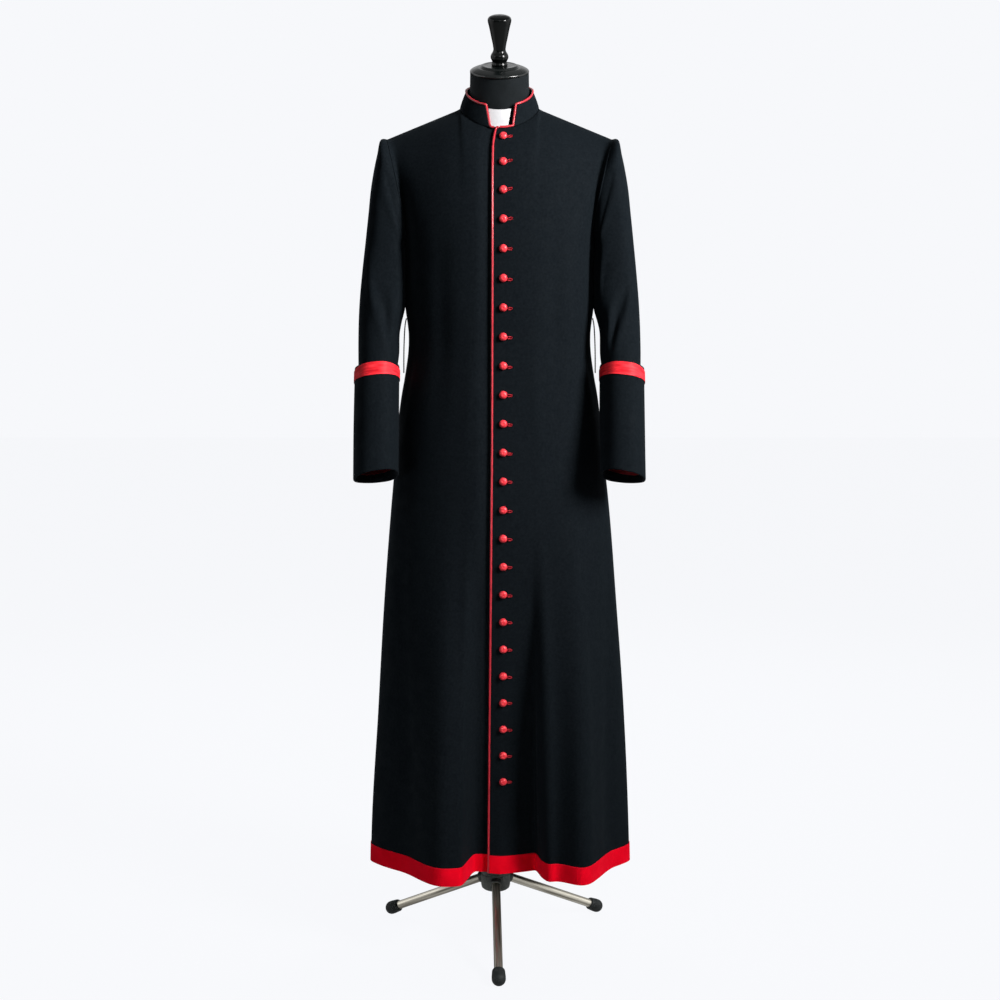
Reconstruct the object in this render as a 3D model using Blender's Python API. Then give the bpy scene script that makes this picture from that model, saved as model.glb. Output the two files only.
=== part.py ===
"""A black cassock with red trim, worn by a limbless dress form on a tripod stand.

The garment faces -Y and the wearer's left is +X. Its panels are thin walls, each drawn on one
surface: horizontal sections from the hem to the chest, and curved columns from the chest up to the
neckline, the shoulder seams and the armholes. Trims are made from the panels' own points, moved out.
"""

import math
from collections import namedtuple

import bmesh
import bpy
import numpy as np
from mathutils import Vector

# ---------------------------------------------------------------- driving sizes, in metres
AXIS_Y = 0.0192  # the form's axis, so that the whole object's box is centred
CLOTH = 0.0020  # wool cloth with its interfacing
GAP = 0.0003  # between pieces that meet
HEM_Z = 0.1500
CHEST_Z = 1.3000  # horizontal sections below, curved columns above
SPAN_POINTS = 401  # points of each half section before it is divided evenly

# Neckline, shoulder and armhole
NECKLINE_HALF = 0.0725
NECKLINE_FRONT = 0.0700
NECKLINE_BACK = 0.0620
NECKLINE_SIDE_Z = 1.5650
NECKLINE_FRONT_DROP = 0.0395
NECKLINE_BACK_RISE = 0.0130
SHOULDER_X = 0.2045
SHOULDER_Z = 1.5115
UNDERARM_X = 0.1700
UNDERARM_Z = 1.3350
ARMHOLE_HALF_DEPTH = 0.0660
ARMHOLE_CURVE = 1.5
ARMHOLE_GAP = 0.0021
NECK_SHARE = 0.28  # share of the half chest under the neckline
SHOULDER_SHARE = 0.60  # and under the neckline and the shoulder seam

# Middle point of each column above the chest, as shares of the way from the chest to its top
PULL_PLACES = (0, NECK_SHARE, SHOULDER_SHARE, 1)
PULL_UPRIGHT = (0.66, 0.80, 0.84, 0.60)
PULL_ACROSS = 0.25
PULL_FRONT = 0.0
PULL_BACK = -0.14  # outwards, over the shoulder blades

# Front opening and buttons
UNDERLAP_X = 0.0180
UNDERLAP_INSET = 0.0052
UNDERLAP_FADE = 0.0250
UNDERLAP_BEYOND = 0.0060  # how far past the overlapping edge the inset stays full
BUTTON_X = 0.0065
BUTTON_COUNT = 24
BUTTON_TOP = 0.0200  # from the neckline, along the cloth
BUTTON_PITCH = 0.0517
BUTTON_RADIUS = 0.0073
BUTTON_HEIGHT = 0.0068
PIPING_RADIUS = 0.0018
PIPING_INSET = 0.0006  # from the cloth's face to the cord's middle, down the front edge
PIPING_START_X = -0.0012

# Collar and its white tab
COLLAR_TOP_HALF = 0.0615
COLLAR_TOP_FRONT = 0.0600
COLLAR_TOP_BACK = 0.0520
COLLAR_TOP_Z = 1.5954
COLLAR_FRONT_DROP = 0.0340
COLLAR_BACK_RISE = 0.0220
NOTCH_RIGHT = (-0.0190, -0.0262)  # collar end on the wearer's right: x at the seam, at the top
NOTCH_LEFT = (0.0262, 0.0316)
TAB_ENDS = (-0.0300, 0.0222)
TAB_INSET = 0.0038
TAB_THICKNESS = 0.0010
TAB_SHARES = (0.06, 0.90)  # of the collar's height

# Bands, lining and sash loops
HEM_BAND = 0.0290
BAND_THICKNESS = 0.0010
CUFF_BAND_SHARE = 0.122  # of the cuff's length
LINING_SHARES = (0.20, 0.95)  # of the sleeve's last stretch, inside the cuff
LOOP_RADIUS = 0.0008

# Stand
STAND_X = -0.0075
TRIPOD_TURN = math.radians(1.5)
LEG_COUNT = 3
LEG_RADIUS = 0.0081
LEG_HUB_REACH = 0.0284
LEG_HUB_Z = 0.1120
FOOT_REACH = 0.2367
FOOT_RADIUS = 0.0128
FOOT_LENGTH = 0.0330
FOOT_SINK = 0.0008  # the flat worn on each foot
FOOT_MOUTH = 0.0103  # radius of the boot where the leg goes in
FOOT_LIP = 0.0030
FOOT_FULL = 0.0141  # length at which the boot reaches its radius
FOOT_SHOULDER = 0.94  # share of the radius at the lip
FOOT_RINGS = 6  # of the round end
LEG_START = 0.0050  # clear of the hub
HUB_TOP_Z = 0.1620
POLE_RADIUS = 0.0125
FORM_BOTTOM_Z = 0.8000
NECK_TILT = math.radians(20)
NECK_TOP = (0.0, -0.0100, 1.6280)

Section = namedtuple("Section", "z half front back front_round back_round shift")
SECTIONS = (
    Section(HEM_Z, 0.2500, 0.155, 0.200, 1.30, 1.80, 0.0010),
    Section(0.210, 0.2480, 0.152, 0.196, 1.36, 1.85, 0.0010),
    Section(0.440, 0.2340, 0.142, 0.178, 1.65, 2.00, 0.0035),
    Section(0.660, 0.2170, 0.132, 0.158, 1.95, 2.10, 0.0030),
    Section(0.880, 0.1995, 0.126, 0.140, 2.15, 2.20, 0.0010),
    Section(0.960, 0.1905, 0.124, 0.130, 2.20, 2.20, 0.0000),
    Section(1.050, 0.1800, 0.122, 0.115, 2.30, 2.30, 0.0000),
    Section(1.137, 0.1680, 0.122, 0.108, 2.40, 2.35, 0.0000),
    Section(1.200, 0.1695, 0.126, 0.112, 2.45, 2.40, 0.0000),
    Section(CHEST_Z, 0.1720, 0.128, 0.118, 2.50, 2.40, 0.0000),
)

# Folds of the skirt. Place, flat and fade are shares of the half width; depth is outwards at the hem.
Fold = namedtuple("Fold", "place flat fade depth top")
FRONT_FOLDS = (
    Fold(-0.47, 0.00, 0.30, 0.034, 0.90),
    Fold(0.04, 0.22, 0.12, -0.0765, 0.85),
    Fold(0.63, 0.00, 0.25, 0.051, 0.98),
)
BACK_FOLDS = (
    Fold(-0.60, 0.00, 0.26, 0.022, 0.90),
    Fold(-0.26, 0.00, 0.20, -0.032, 0.80),
    Fold(0.05, 0.02, 0.20, 0.010, 0.95),
    Fold(0.36, 0.02, 0.18, -0.034, 0.85),
    Fold(0.66, 0.00, 0.24, 0.020, 0.90),
)

# Front edge of the overlapping front, whose piping lies just beyond it
EDGE_Z = (HEM_Z, 0.95, 1.30, 1.52)
EDGE_X = (-0.0190, -0.0115, -0.0105, -0.0070)

# Sleeve rings of the wearer's left arm: outer and inner point, then centre depth, half depth, pitch
Ring = namedtuple("Ring", "outer_x outer_z inner_x inner_z y half_depth pitch")
SLEEVE_RINGS = (
    Ring(0.2150, 1.5080, 0.1738, 1.3290, 0.000, 0.0680, 0),
    Ring(0.2222, 1.4815, 0.1745, 1.3210, 0.000, 0.0725, 0),
    Ring(0.2354, 1.4270, 0.1750, 1.3060, 0.000, 0.0730, 0),
    Ring(0.2417, 1.3740, 0.1752, 1.2860, -0.002, 0.0715, 1),
    Ring(0.2479, 1.3230, 0.1760, 1.2620, -0.005, 0.0690, 2),
    Ring(0.2523, 1.2670, 0.1770, 1.2280, -0.011, 0.0660, 4),
    Ring(0.2560, 1.2150, 0.1788, 1.1920, -0.021, 0.0630, 7),
    Ring(0.2572, 1.1700, 0.1802, 1.1600, -0.033, 0.0600, 10),
    Ring(0.2570, 1.1280, 0.1820, 1.1320, -0.046, 0.0575, 13),
    Ring(0.2565, 1.0900, 0.1862, 1.0980, -0.058, 0.0560, 14),
    Ring(0.2585, 0.9920, 0.1858, 1.0050, -0.087, 0.0550, 16),
    Ring(0.2600, 0.9010, 0.1852, 0.9155, -0.116, 0.0532, 17),
)
CUFF_RINGS = (
    Ring(0.2630, 1.0915, 0.1825, 1.0995, -0.058, 0.0610, 14),
    Ring(0.2635, 0.9920, 0.1820, 1.0050, -0.087, 0.0600, 16),
    Ring(0.2630, 0.8975, 0.1820, 0.9125, -0.116, 0.0565, 17),
)

# Dress form, bottom to top
FormRing = namedtuple("FormRing", "z half front back rounding y tilt")
FORM_RINGS = (
    FormRing(FORM_BOTTOM_Z, 0.160, 0.098, 0.100, 2.2, 0.000, 0),
    FormRing(0.815, 0.170, 0.107, 0.110, 2.2, 0.000, 0),
    FormRing(0.900, 0.179, 0.111, 0.117, 2.2, 0.000, 0),
    FormRing(0.960, 0.176, 0.111, 0.113, 2.2, 0.000, 0),
    FormRing(1.050, 0.163, 0.108, 0.102, 2.3, 0.000, 0),
    FormRing(1.137, 0.157, 0.108, 0.096, 2.3, 0.000, 0),
    FormRing(1.200, 0.158, 0.111, 0.099, 2.4, 0.000, 0),
    FormRing(1.300, 0.162, 0.117, 0.107, 2.4, 0.000, 0),
    FormRing(1.360, 0.164, 0.115, 0.109, 2.3, 0.000, 0),
    FormRing(1.420, 0.168, 0.102, 0.105, 2.2, 0.000, 0),
    FormRing(1.460, 0.172, 0.086, 0.092, 2.1, 0.000, 0),
    FormRing(1.490, 0.172, 0.066, 0.074, 2.0, 0.000, 0),
    FormRing(1.510, 0.158, 0.052, 0.058, 2.0, 0.000, 0),
    FormRing(1.528, 0.130, 0.044, 0.046, 2.0, 0.000, 0),
    FormRing(1.543, 0.094, 0.042, 0.042, 2.0, 0.000, 2),
    FormRing(1.556, 0.066, 0.046, 0.044, 2.0, 0.000, 8),
    FormRing(1.574, 0.0560, 0.048, 0.046, 2.0, -0.001, 14),
    FormRing(1.600, 0.0540, 0.049, 0.047, 2.0, -0.005, 18),
)

# Turned profiles: radius, height
CAP_PROFILE = (
    (0.0515, 0.0000),
    (0.0535, 0.0015),
    (0.0535, 0.0035),
    (0.0515, 0.0055),
    (0.0440, 0.0090),
    (0.0345, 0.0112),
    (0.0335, 0.0122),
    (0.0315, 0.0130),
)
FINIAL_PROFILE = (
    (0.0150, 0.0000),
    (0.0155, 0.0020),
    (0.0143, 0.0040),
    (0.0120, 0.0062),
    (0.0145, 0.0100),
    (0.0163, 0.0135),
    (0.0160, 0.0170),
    (0.0135, 0.0215),
    (0.0110, 0.0250),
    (0.0106, 0.0275),
    (0.0210, 0.0790),
    (0.0213, 0.0815),
    (0.0195, 0.0845),
    (0.0120, 0.0870),
)
HUB_PROFILE = (
    (0.0150, 0.0940),
    (0.0240, 0.0950),
    (0.0272, 0.0985),
    (0.0280, 0.1040),
    (0.0280, 0.1480),
    (0.0255, 0.1530),
    (0.0170, 0.1560),
    (0.0165, HUB_TOP_Z),
)
BUTTON_PROFILE = (  # shares of the radius and of the height
    (0.85, 0.00),
    (1.00, 0.24),
    (0.82, 0.72),
    (0.40, 0.98),
)

# ---------------------------------------------------------------- mesh resolution
ROW_HEIGHTS = (HEM_Z, 0.179, 0.270, 0.370, 0.480, 0.600, 0.720, 0.840, 0.950, 1.050, 1.137, 1.220)
ROW_HEIGHTS += (CHEST_Z,)
ROW_SHARES = (0.25, 0.48, 0.68, 0.86, 1.0)
NECK_COLUMNS = 5
SEAM_COLUMNS = 4
ARMHOLE_COLUMNS = 6
SLEEVE_SIDES = 2 * ARMHOLE_COLUMNS
COLLAR_COLUMNS = 30
COLLAR_ROWS = 3
TAB_COLUMNS = 8
NOTCH_ROWS = 4
CHEST_STEPS = 11  # of the front piping, above the chest
SKIRT_STEPS = 23  # and below it
BUTTON_STEPS = 60  # of the line that the buttons stand on, above and below the chest
ROUND_SIDES = 24
SMALL_SIDES = 12
BUTTON_SIDES = 10
FORM_SIDES = 24
TUBE_SIDES = 6
TUBE_START = (0.3, 0.2, 0.9)  # a direction that no tube begins along


# ---------------------------------------------------------------- materials
def material(name, colour, roughness, metallic=0.0):
    made = bpy.data.materials.new(name)
    made.use_nodes = True
    shader = made.node_tree.nodes["Principled BSDF"]
    shader.inputs["Base Color"].default_value = (*colour, 1.0)
    shader.inputs["Roughness"].default_value = roughness
    shader.inputs["Metallic"].default_value = metallic
    made.diffuse_color = (*colour, 1.0)
    return made


# ---------------------------------------------------------------- mesh helpers
def add_object(name, points, faces, finish, sharp_degrees=50):
    """One closed body, its faces turned outwards and its round parts shaded smooth."""
    mesh = bpy.data.meshes.new(name)
    mesh.from_pydata([tuple(point) for point in points], [], faces)
    shell = bmesh.new()
    shell.from_mesh(mesh)
    bmesh.ops.recalc_face_normals(shell, faces=shell.faces)
    if shell.calc_volume(signed=True) < 0:
        bmesh.ops.reverse_faces(shell, faces=shell.faces)
    shell.to_mesh(mesh)
    shell.free()
    mesh.shade_smooth()
    mesh.set_sharp_from_angle(angle=math.radians(sharp_degrees))
    mesh.materials.append(finish)
    made = bpy.data.objects.new(name, mesh)
    made.location.y = AXIS_Y
    bpy.context.scene.collection.objects.link(made)
    return made


def normals(grid, around=False):
    """Unit normals of a grid of points, by the steps along its rows and columns."""
    if around:
        along = np.roll(grid, -1, axis=1) - np.roll(grid, 1, axis=1)
    else:
        along = np.gradient(grid, axis=1)
    cross = np.cross(along, np.gradient(grid, axis=0))
    return cross / np.linalg.norm(cross, axis=2, keepdims=True)


def wall(outer, inner, around=False):
    """Points and faces of a closed wall between two grids. Around: its columns close on themselves."""
    rows, columns = outer.shape[:2]
    points = np.concatenate([outer.reshape(-1, 3), inner.reshape(-1, 3)])
    count = rows * columns
    steps = columns if around else columns - 1
    faces = []
    for row in range(rows - 1):
        for column in range(steps):
            a = row * columns + column
            b = row * columns + (column + 1) % columns
            faces.append((a, b, b + columns, a + columns))
            faces.append((a + count, a + columns + count, b + columns + count, b + count))
    for column in range(steps):
        following = (column + 1) % columns
        for row in (0, rows - 1):
            a = row * columns + column
            b = row * columns + following
            faces.append((a, b, b + count, a + count))
    if not around:
        for row in range(rows - 1):
            for column in (0, columns - 1):
                a = row * columns + column
                faces.append((a, a + columns, a + columns + count, a + count))
    return points, faces


def rings_body(rings):
    """Points and faces of a solid through closed rings of equally many points."""
    sides = len(rings[0])
    faces = [tuple(range(sides)), tuple(range((len(rings) - 1) * sides, len(rings) * sides))]
    for ring in range(len(rings) - 1):
        for step in range(sides):
            a = ring * sides + step
            b = ring * sides + (step + 1) % sides
            faces.append((a, b, b + sides, a + sides))
    return np.concatenate(rings), faces


def tube(path, radius):
    """Points and faces of a round tube along a path, with flat ends."""
    path = np.asarray(path, float)
    along = np.gradient(path, axis=0)
    along /= np.linalg.norm(along, axis=1, keepdims=True)
    angles = 2 * math.pi * np.arange(TUBE_SIDES) / TUBE_SIDES
    side = np.cross(along[0], TUBE_START)
    rings = []
    for centre, direction in zip(path, along):
        side = side - direction * side.dot(direction)
        side /= np.linalg.norm(side)
        other = np.cross(direction, side)
        rings.append(centre + radius * (np.outer(np.cos(angles), side) + np.outer(np.sin(angles), other)))
    return rings_body(rings)


def turned(profile, sides=ROUND_SIDES):
    """Rings of a turned shape about the Z axis."""
    angles = 2 * math.pi * np.arange(sides) / sides
    circle = np.stack([np.cos(angles), np.sin(angles)], axis=1)
    return [np.column_stack([radius * circle, np.full(sides, height)]) for radius, height in profile]


def placed(points, direction, origin):
    """Points made about +Z, stood along a direction from an origin."""
    turn = Vector((0, 0, 1)).rotation_difference(Vector(direction)).to_matrix()
    return np.asarray(points) @ np.array(turn).T + np.asarray(origin)


# ---------------------------------------------------------------- the garment's surface
def fade(value):
    value = np.clip(value, 0.0, 1.0)
    return value * value * (3 - 2 * value)


def smooth(keys, values, at):
    """Read a column of a table along one smooth curve through its rows."""
    keys = np.asarray(keys, float)
    values = np.asarray(values, float)
    slopes = np.gradient(values, keys)
    low = int(np.clip(np.searchsorted(keys, at) - 1, 0, len(keys) - 2))
    span = keys[low + 1] - keys[low]
    t = (at - keys[low]) / span
    start = (2 * t**3 - 3 * t**2 + 1) * values[low] + (t**3 - 2 * t**2 + t) * span * slopes[low]
    end = (3 * t**2 - 2 * t**3) * values[low + 1] + (t**3 - t**2) * span * slopes[low + 1]
    return start + end


def section_value(column, z):
    return smooth([row.z for row in SECTIONS], [getattr(row, column) for row in SECTIONS], z)


def spread(points):
    """Each point's place along its curve, from -1 at the start to 1 at the end."""
    steps = np.linalg.norm(np.diff(points, axis=0), axis=1)
    length = np.concatenate([[0.0], np.cumsum(steps)])
    return 2 * length / length[-1] - 1


def low_curve(z, side):
    """Front (side -1) or back (side 1) half of a section below the chest, from -X to +X."""
    half = section_value("half", z)
    depth = section_value("front" if side < 0 else "back", z)
    power = 2 / section_value("front_round" if side < 0 else "back_round", z)
    angle = np.linspace(-math.pi / 2, math.pi / 2, SPAN_POINTS)
    share = np.sign(angle) * np.abs(np.sin(angle)) ** power
    out = depth * np.abs(np.cos(angle)) ** power
    for fold in FRONT_FOLDS if side < 0 else BACK_FOLDS:
        grown = fade((fold.top - z) / (fold.top - HEM_Z))
        out += fold.depth * grown * (1 - fade((np.abs(share - fold.place) - fold.flat) / fold.fade))
    out = np.maximum(out, GAP / 2)
    x = half * share + section_value("shift", z)
    return np.column_stack([x, side * out, np.full(SPAN_POINTS, z)])


def neckline(angle):
    """Collar seam, by the angle from centre front."""
    front = max(math.cos(angle), 0.0)
    back = max(-math.cos(angle), 0.0)
    z = NECKLINE_SIDE_Z - NECKLINE_FRONT_DROP * front**1.35 + NECKLINE_BACK_RISE * back
    y = NECKLINE_BACK * back - NECKLINE_FRONT * front
    return np.array([NECKLINE_HALF * math.sin(angle), y, z])


def collar_top(angle):
    """Upper edge of the collar, by the angle from centre front."""
    front = max(math.cos(angle), 0.0)
    back = max(-math.cos(angle), 0.0)
    z = COLLAR_TOP_Z - COLLAR_FRONT_DROP * front + COLLAR_BACK_RISE * back
    y = COLLAR_TOP_BACK * back - COLLAR_TOP_FRONT * front
    return np.array([COLLAR_TOP_HALF * math.sin(angle), y, z])


def armhole(angle):
    """Armhole of the wearer's left side, by the angle from the shoulder towards the front."""
    rise = (1 + math.cos(angle)) / 2
    x = UNDERARM_X + (SHOULDER_X - UNDERARM_X) * rise**ARMHOLE_CURVE
    z = UNDERARM_Z + (SHOULDER_Z - UNDERARM_Z) * rise
    return np.array([x, -ARMHOLE_HALF_DEPTH * math.sin(angle), z])


def top_point(place, side):
    """Where the column at this place ends: on the neckline, the shoulder seam or the armhole."""
    reach = abs(place)
    seam = np.array([0.0, side * GAP / 2, 0.0])
    if reach < NECK_SHARE:
        angle = math.pi / 2 * reach / NECK_SHARE
        point = neckline(angle if side < 0 else math.pi - angle)
    elif reach < SHOULDER_SHARE:
        share = (reach - NECK_SHARE) / (SHOULDER_SHARE - NECK_SHARE)
        point = (1 - share) * neckline(math.pi / 2) + share * armhole(0.0) + seam
    else:
        angle = math.pi * math.sqrt((reach - SHOULDER_SHARE) / (1 - SHOULDER_SHARE))
        point = armhole(-side * angle) + seam - np.array([ARMHOLE_GAP / 2, 0.0, 0.0])
    point[0] = math.copysign(point[0], place)
    return point


def high_curve(share, side):
    """Half section above the chest: each column is an arc that leaves the chest upright."""
    chest = low_curve(CHEST_Z, side)
    places = spread(chest)
    top = np.array([top_point(place, side) for place in places])
    upright = np.interp(np.abs(places), PULL_PLACES, PULL_UPRIGHT)
    depth = np.full(SPAN_POINTS, PULL_FRONT if side < 0 else PULL_BACK)
    pull = np.column_stack([np.full(SPAN_POINTS, PULL_ACROSS), depth, upright])
    middle = chest + pull * (top - chest)
    return (1 - share) ** 2 * chest + 2 * share * (1 - share) * middle + share**2 * top


def garment_row(level, side):
    """A row of the surface. Levels up to 1 are heights from hem to chest, and from 1 to 2 above it."""
    if level <= 1:
        points = low_curve(HEM_Z + level * (CHEST_Z - HEM_Z), side)
        return points, spread(points)
    return high_curve(level - 1, side), spread(low_curve(CHEST_Z, side))


def at_places(points, places, wanted):
    return np.column_stack([np.interp(wanted, places, points[:, axis]) for axis in range(3)])


def place_of_x(points, places, x):
    return float(np.interp(x, points[:, 0], places))


def edge_x(z):
    return float(np.interp(z, EDGE_Z, EDGE_X))


def levels():
    low = [(z - HEM_Z) / (CHEST_Z - HEM_Z) for z in ROW_HEIGHTS]
    return low + [1 + share for share in ROW_SHARES]


def evenly(start, end, count):
    return np.linspace(start, end, count + 1)


def half_columns(inner):
    """Column places of a half panel, from an inner place out to the side seam."""
    neck = evenly(inner, NECK_SHARE, NECK_COLUMNS)
    seam = evenly(NECK_SHARE, SHOULDER_SHARE, SEAM_COLUMNS)
    arm = SHOULDER_SHARE + (1 - SHOULDER_SHARE) * evenly(0, 1, ARMHOLE_COLUMNS) ** 2
    return np.concatenate([neck, seam[1:], arm[1:]])


def underlap(points):
    """Set the under front back where the overlapping front covers it."""
    for point in points:
        beyond = edge_x(point[2]) - UNDERLAP_BEYOND - point[0]
        point[1] += UNDERLAP_INSET * (1 - float(fade(beyond / UNDERLAP_FADE)))
    return points


def panel_grid(name, wanted_levels):
    """Outer points of a front or of the back, a row for each level."""
    side = 1 if name == "back" else -1
    rows = []
    for level in wanted_levels:
        points, places = garment_row(level, side)
        if name == "back":
            half = half_columns(0.0)
            rows.append(at_places(points, places, np.concatenate([-half[:0:-1], half])))
        elif name == "front_left":
            z = at_places(points, places, [0.0])[0, 2]
            start = place_of_x(points, places, edge_x(z))
            rows.append(at_places(points, places, half_columns(start)))
        else:
            end = place_of_x(points, places, UNDERLAP_X)
            rows.append(underlap(at_places(points, places, -half_columns(-end)[::-1])))
    return np.array(rows)


def panel_normals(name, grid):
    """Outward normals, mitred along the side seams and the shoulder seams."""
    facing = normals(grid) * (-1.0 if name == "back" else 1.0)
    side_columns = {"front_left": (-1,), "front_right": (0,), "back": (0, -1)}[name]
    for column in side_columns:
        facing[:, column] = (math.copysign(1.0, grid[0, column, 0]), 0.0, 0.0)
    top = grid[-1]
    on_seam = (np.abs(top[:, 1]) < 2 * GAP) & (top[:, 2] > UNDERARM_Z + 0.01)
    facing[-1][on_seam] = (0.0, 0.0, 1.0)
    return facing


# ---------------------------------------------------------------- garment pieces
def make_panel(name, finish):
    grid = panel_grid(name, levels())
    inner = grid - CLOTH * panel_normals(name, grid)
    add_object(name, *wall(grid, inner), finish)


def make_hem_band(name, finish):
    wanted = [(z - HEM_Z) / (CHEST_Z - HEM_Z) for z in (HEM_Z, HEM_Z + HEM_BAND)]
    grid = panel_grid(name, wanted)
    facing = panel_normals(name, grid)
    inner = grid + GAP * facing
    outer = grid + (GAP + BAND_THICKNESS) * facing
    add_object("hem_band_" + name, *wall(outer, inner), finish)


def front_column(x, wanted_levels):
    """Points up the front surface at one distance from centre front."""
    column = []
    for level in wanted_levels:
        points, places = garment_row(level, -1)
        column.append(at_places(points, places, [place_of_x(points, places, x)])[0])
    return np.array(column)


def make_buttons(finish):
    wanted = np.concatenate([evenly(2.0, 1.0, BUTTON_STEPS), evenly(1.0, 0.0, BUTTON_STEPS)[1:]])
    column = front_column(BUTTON_X, wanted)
    beside = front_column(BUTTON_X + BUTTON_RADIUS, wanted)
    length = (spread(column) + 1) / 2 * np.sum(np.linalg.norm(np.diff(column, axis=0), axis=1))
    profile = [(share * BUTTON_RADIUS, rise * BUTTON_HEIGHT) for share, rise in BUTTON_PROFILE]
    for number in range(BUTTON_COUNT):
        at = BUTTON_TOP + number * BUTTON_PITCH
        centre, below = at_places(column, length, [at, at + BUTTON_RADIUS])
        across = at_places(beside, length, [at])[0] - centre
        facing = np.cross(below - centre, across)
        facing /= np.linalg.norm(facing)
        points, faces = rings_body(turned(profile, BUTTON_SIDES))
        points = placed(points, facing, centre + 3 * GAP * facing)
        add_object(f"button_{number + 1:02d}", points, faces, finish)


def ring_points(ring, angles):
    """Points of a sleeve or cuff ring, from its outer point towards the front."""
    outer = np.array([ring.outer_x, ring.y, ring.outer_z])
    inner = np.array([ring.inner_x, ring.y, ring.inner_z])
    centre = (outer + inner) / 2
    pitch = math.radians(ring.pitch)
    forward = ring.half_depth * np.array([0.0, -math.cos(pitch), math.sin(pitch)])
    return np.array([centre + math.cos(a) * (outer - centre) + math.sin(a) * forward for a in angles])


def between(first, second, share):
    return Ring(*[(1 - share) * a + share * b for a, b in zip(first, second)])


def tube_grid(rings):
    angles = 2 * math.pi * np.arange(SLEEVE_SIDES) / SLEEVE_SIDES
    return np.array([ring_points(ring, angles) for ring in rings])


def inwards(grid):
    """Unit vectors from each point of a ring to the ring's middle, within the wall's own normal."""
    facing = normals(grid, around=True)
    middle = grid.mean(axis=1, keepdims=True) - grid
    turn = np.sign(np.sum(facing * middle, axis=2, keepdims=True))
    return facing * turn


def mirrored(points, hand):
    return np.asarray(points) * np.array([hand, 1.0, 1.0])


def make_arm(suffix, hand, cloth, red, lining):
    """Sleeve, turned-back cuff, its band and the lining that shows, for one arm."""
    angles = 2 * math.pi * np.arange(SLEEVE_SIDES) / SLEEVE_SIDES
    seam = np.array([armhole(angle) for angle in angles]) + np.array([ARMHOLE_GAP / 2, 0.0, 0.0])
    sleeve = np.concatenate([seam[None], tube_grid(SLEEVE_RINGS)])
    inward = inwards(sleeve)
    to_middle = seam.mean(axis=0) - seam
    inward[0] = to_middle / np.linalg.norm(to_middle, axis=1, keepdims=True)
    points, faces = wall(sleeve, sleeve + CLOTH * inward, around=True)
    add_object("sleeve_" + suffix, mirrored(points, hand), faces, cloth)

    cuff = tube_grid(CUFF_RINGS)
    points, faces = wall(cuff, cuff + CLOTH * inwards(cuff), around=True)
    add_object("cuff_" + suffix, mirrored(points, hand), faces, cloth)

    top, middle = CUFF_RINGS[0], CUFF_RINGS[1]
    band = tube_grid((top, between(top, middle, 2 * CUFF_BAND_SHARE)))
    outward = -inwards(band)
    points, faces = wall(band + (GAP + BAND_THICKNESS) * outward, band + GAP * outward, around=True)
    add_object("cuff_band_" + suffix, mirrored(points, hand), faces, red)

    wrist, above = SLEEVE_RINGS[-1], SLEEVE_RINGS[-2]
    inside = tube_grid([between(wrist, above, share) for share in LINING_SHARES])
    inward = inwards(inside)
    near = inside + (CLOTH + 2 * GAP) * inward
    far = inside + (CLOTH + 2 * GAP + BAND_THICKNESS) * inward
    points, faces = wall(near, far, around=True)
    add_object("sleeve_lining_" + suffix, mirrored(points, hand), faces, lining)


def collar_half(share):
    return (1 - share) * NECKLINE_HALF + share * COLLAR_TOP_HALF


def collar_angles(x_right, x_left, share):
    """Angles of the collar's two ends at a share of its height, from the wearer's left round the back."""
    half = collar_half(share)
    return math.asin(x_left / half), 2 * math.pi + math.asin(x_right / half)


def collar_point(angle, share, inset=0.0):
    """A point of the collar's outer face, or of a face inset from it."""
    base = neckline(angle) + np.array([0.0, 0.0, 2 * GAP])
    point = (1 - share) * base + share * collar_top(angle)
    radial = np.array([math.sin(angle), -math.cos(angle), 0.0])
    return point - inset * radial


def make_collar(cloth, white):
    rows = []
    inner_rows = []
    for share in evenly(0.0, 1.0, COLLAR_ROWS):
        right = (1 - share) * NOTCH_RIGHT[0] + share * NOTCH_RIGHT[1]
        left = (1 - share) * NOTCH_LEFT[0] + share * NOTCH_LEFT[1]
        angles = evenly(*collar_angles(right, left, share), COLLAR_COLUMNS)
        rows.append([collar_point(angle, share) for angle in angles])
        inner_rows.append([collar_point(angle, share, CLOTH) for angle in angles])
    add_object("collar", *wall(np.array(rows), np.array(inner_rows)), cloth)

    rows = []
    inner_rows = []
    for share in TAB_SHARES:
        half = collar_half(share)
        angles = evenly(math.asin(TAB_ENDS[0] / half), math.asin(TAB_ENDS[1] / half), TAB_COLUMNS)
        rows.append([collar_point(angle, share, TAB_INSET) for angle in angles])
        inner_rows.append([collar_point(angle, share, TAB_INSET + TAB_THICKNESS) for angle in angles])
    add_object("collar_tab", *wall(np.array(rows), np.array(inner_rows)), white)


def notch_edge(ends, share, step):
    """A point beside one end of the collar, at a share of its height."""
    x = (1 - share) * ends[0] + share * ends[1]
    return collar_point(math.asin(x / collar_half(share)), share, CLOTH / 2) + np.array([step, 0.0, 0.0])


def round_corner(corner, radius, degrees):
    """Points round a corner, in the plane that the wearer's front faces."""
    turns = [math.radians(turn) for turn in degrees]
    return [corner + radius * np.array([math.cos(turn), 0.0, math.sin(turn)]) for turn in turns]


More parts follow.
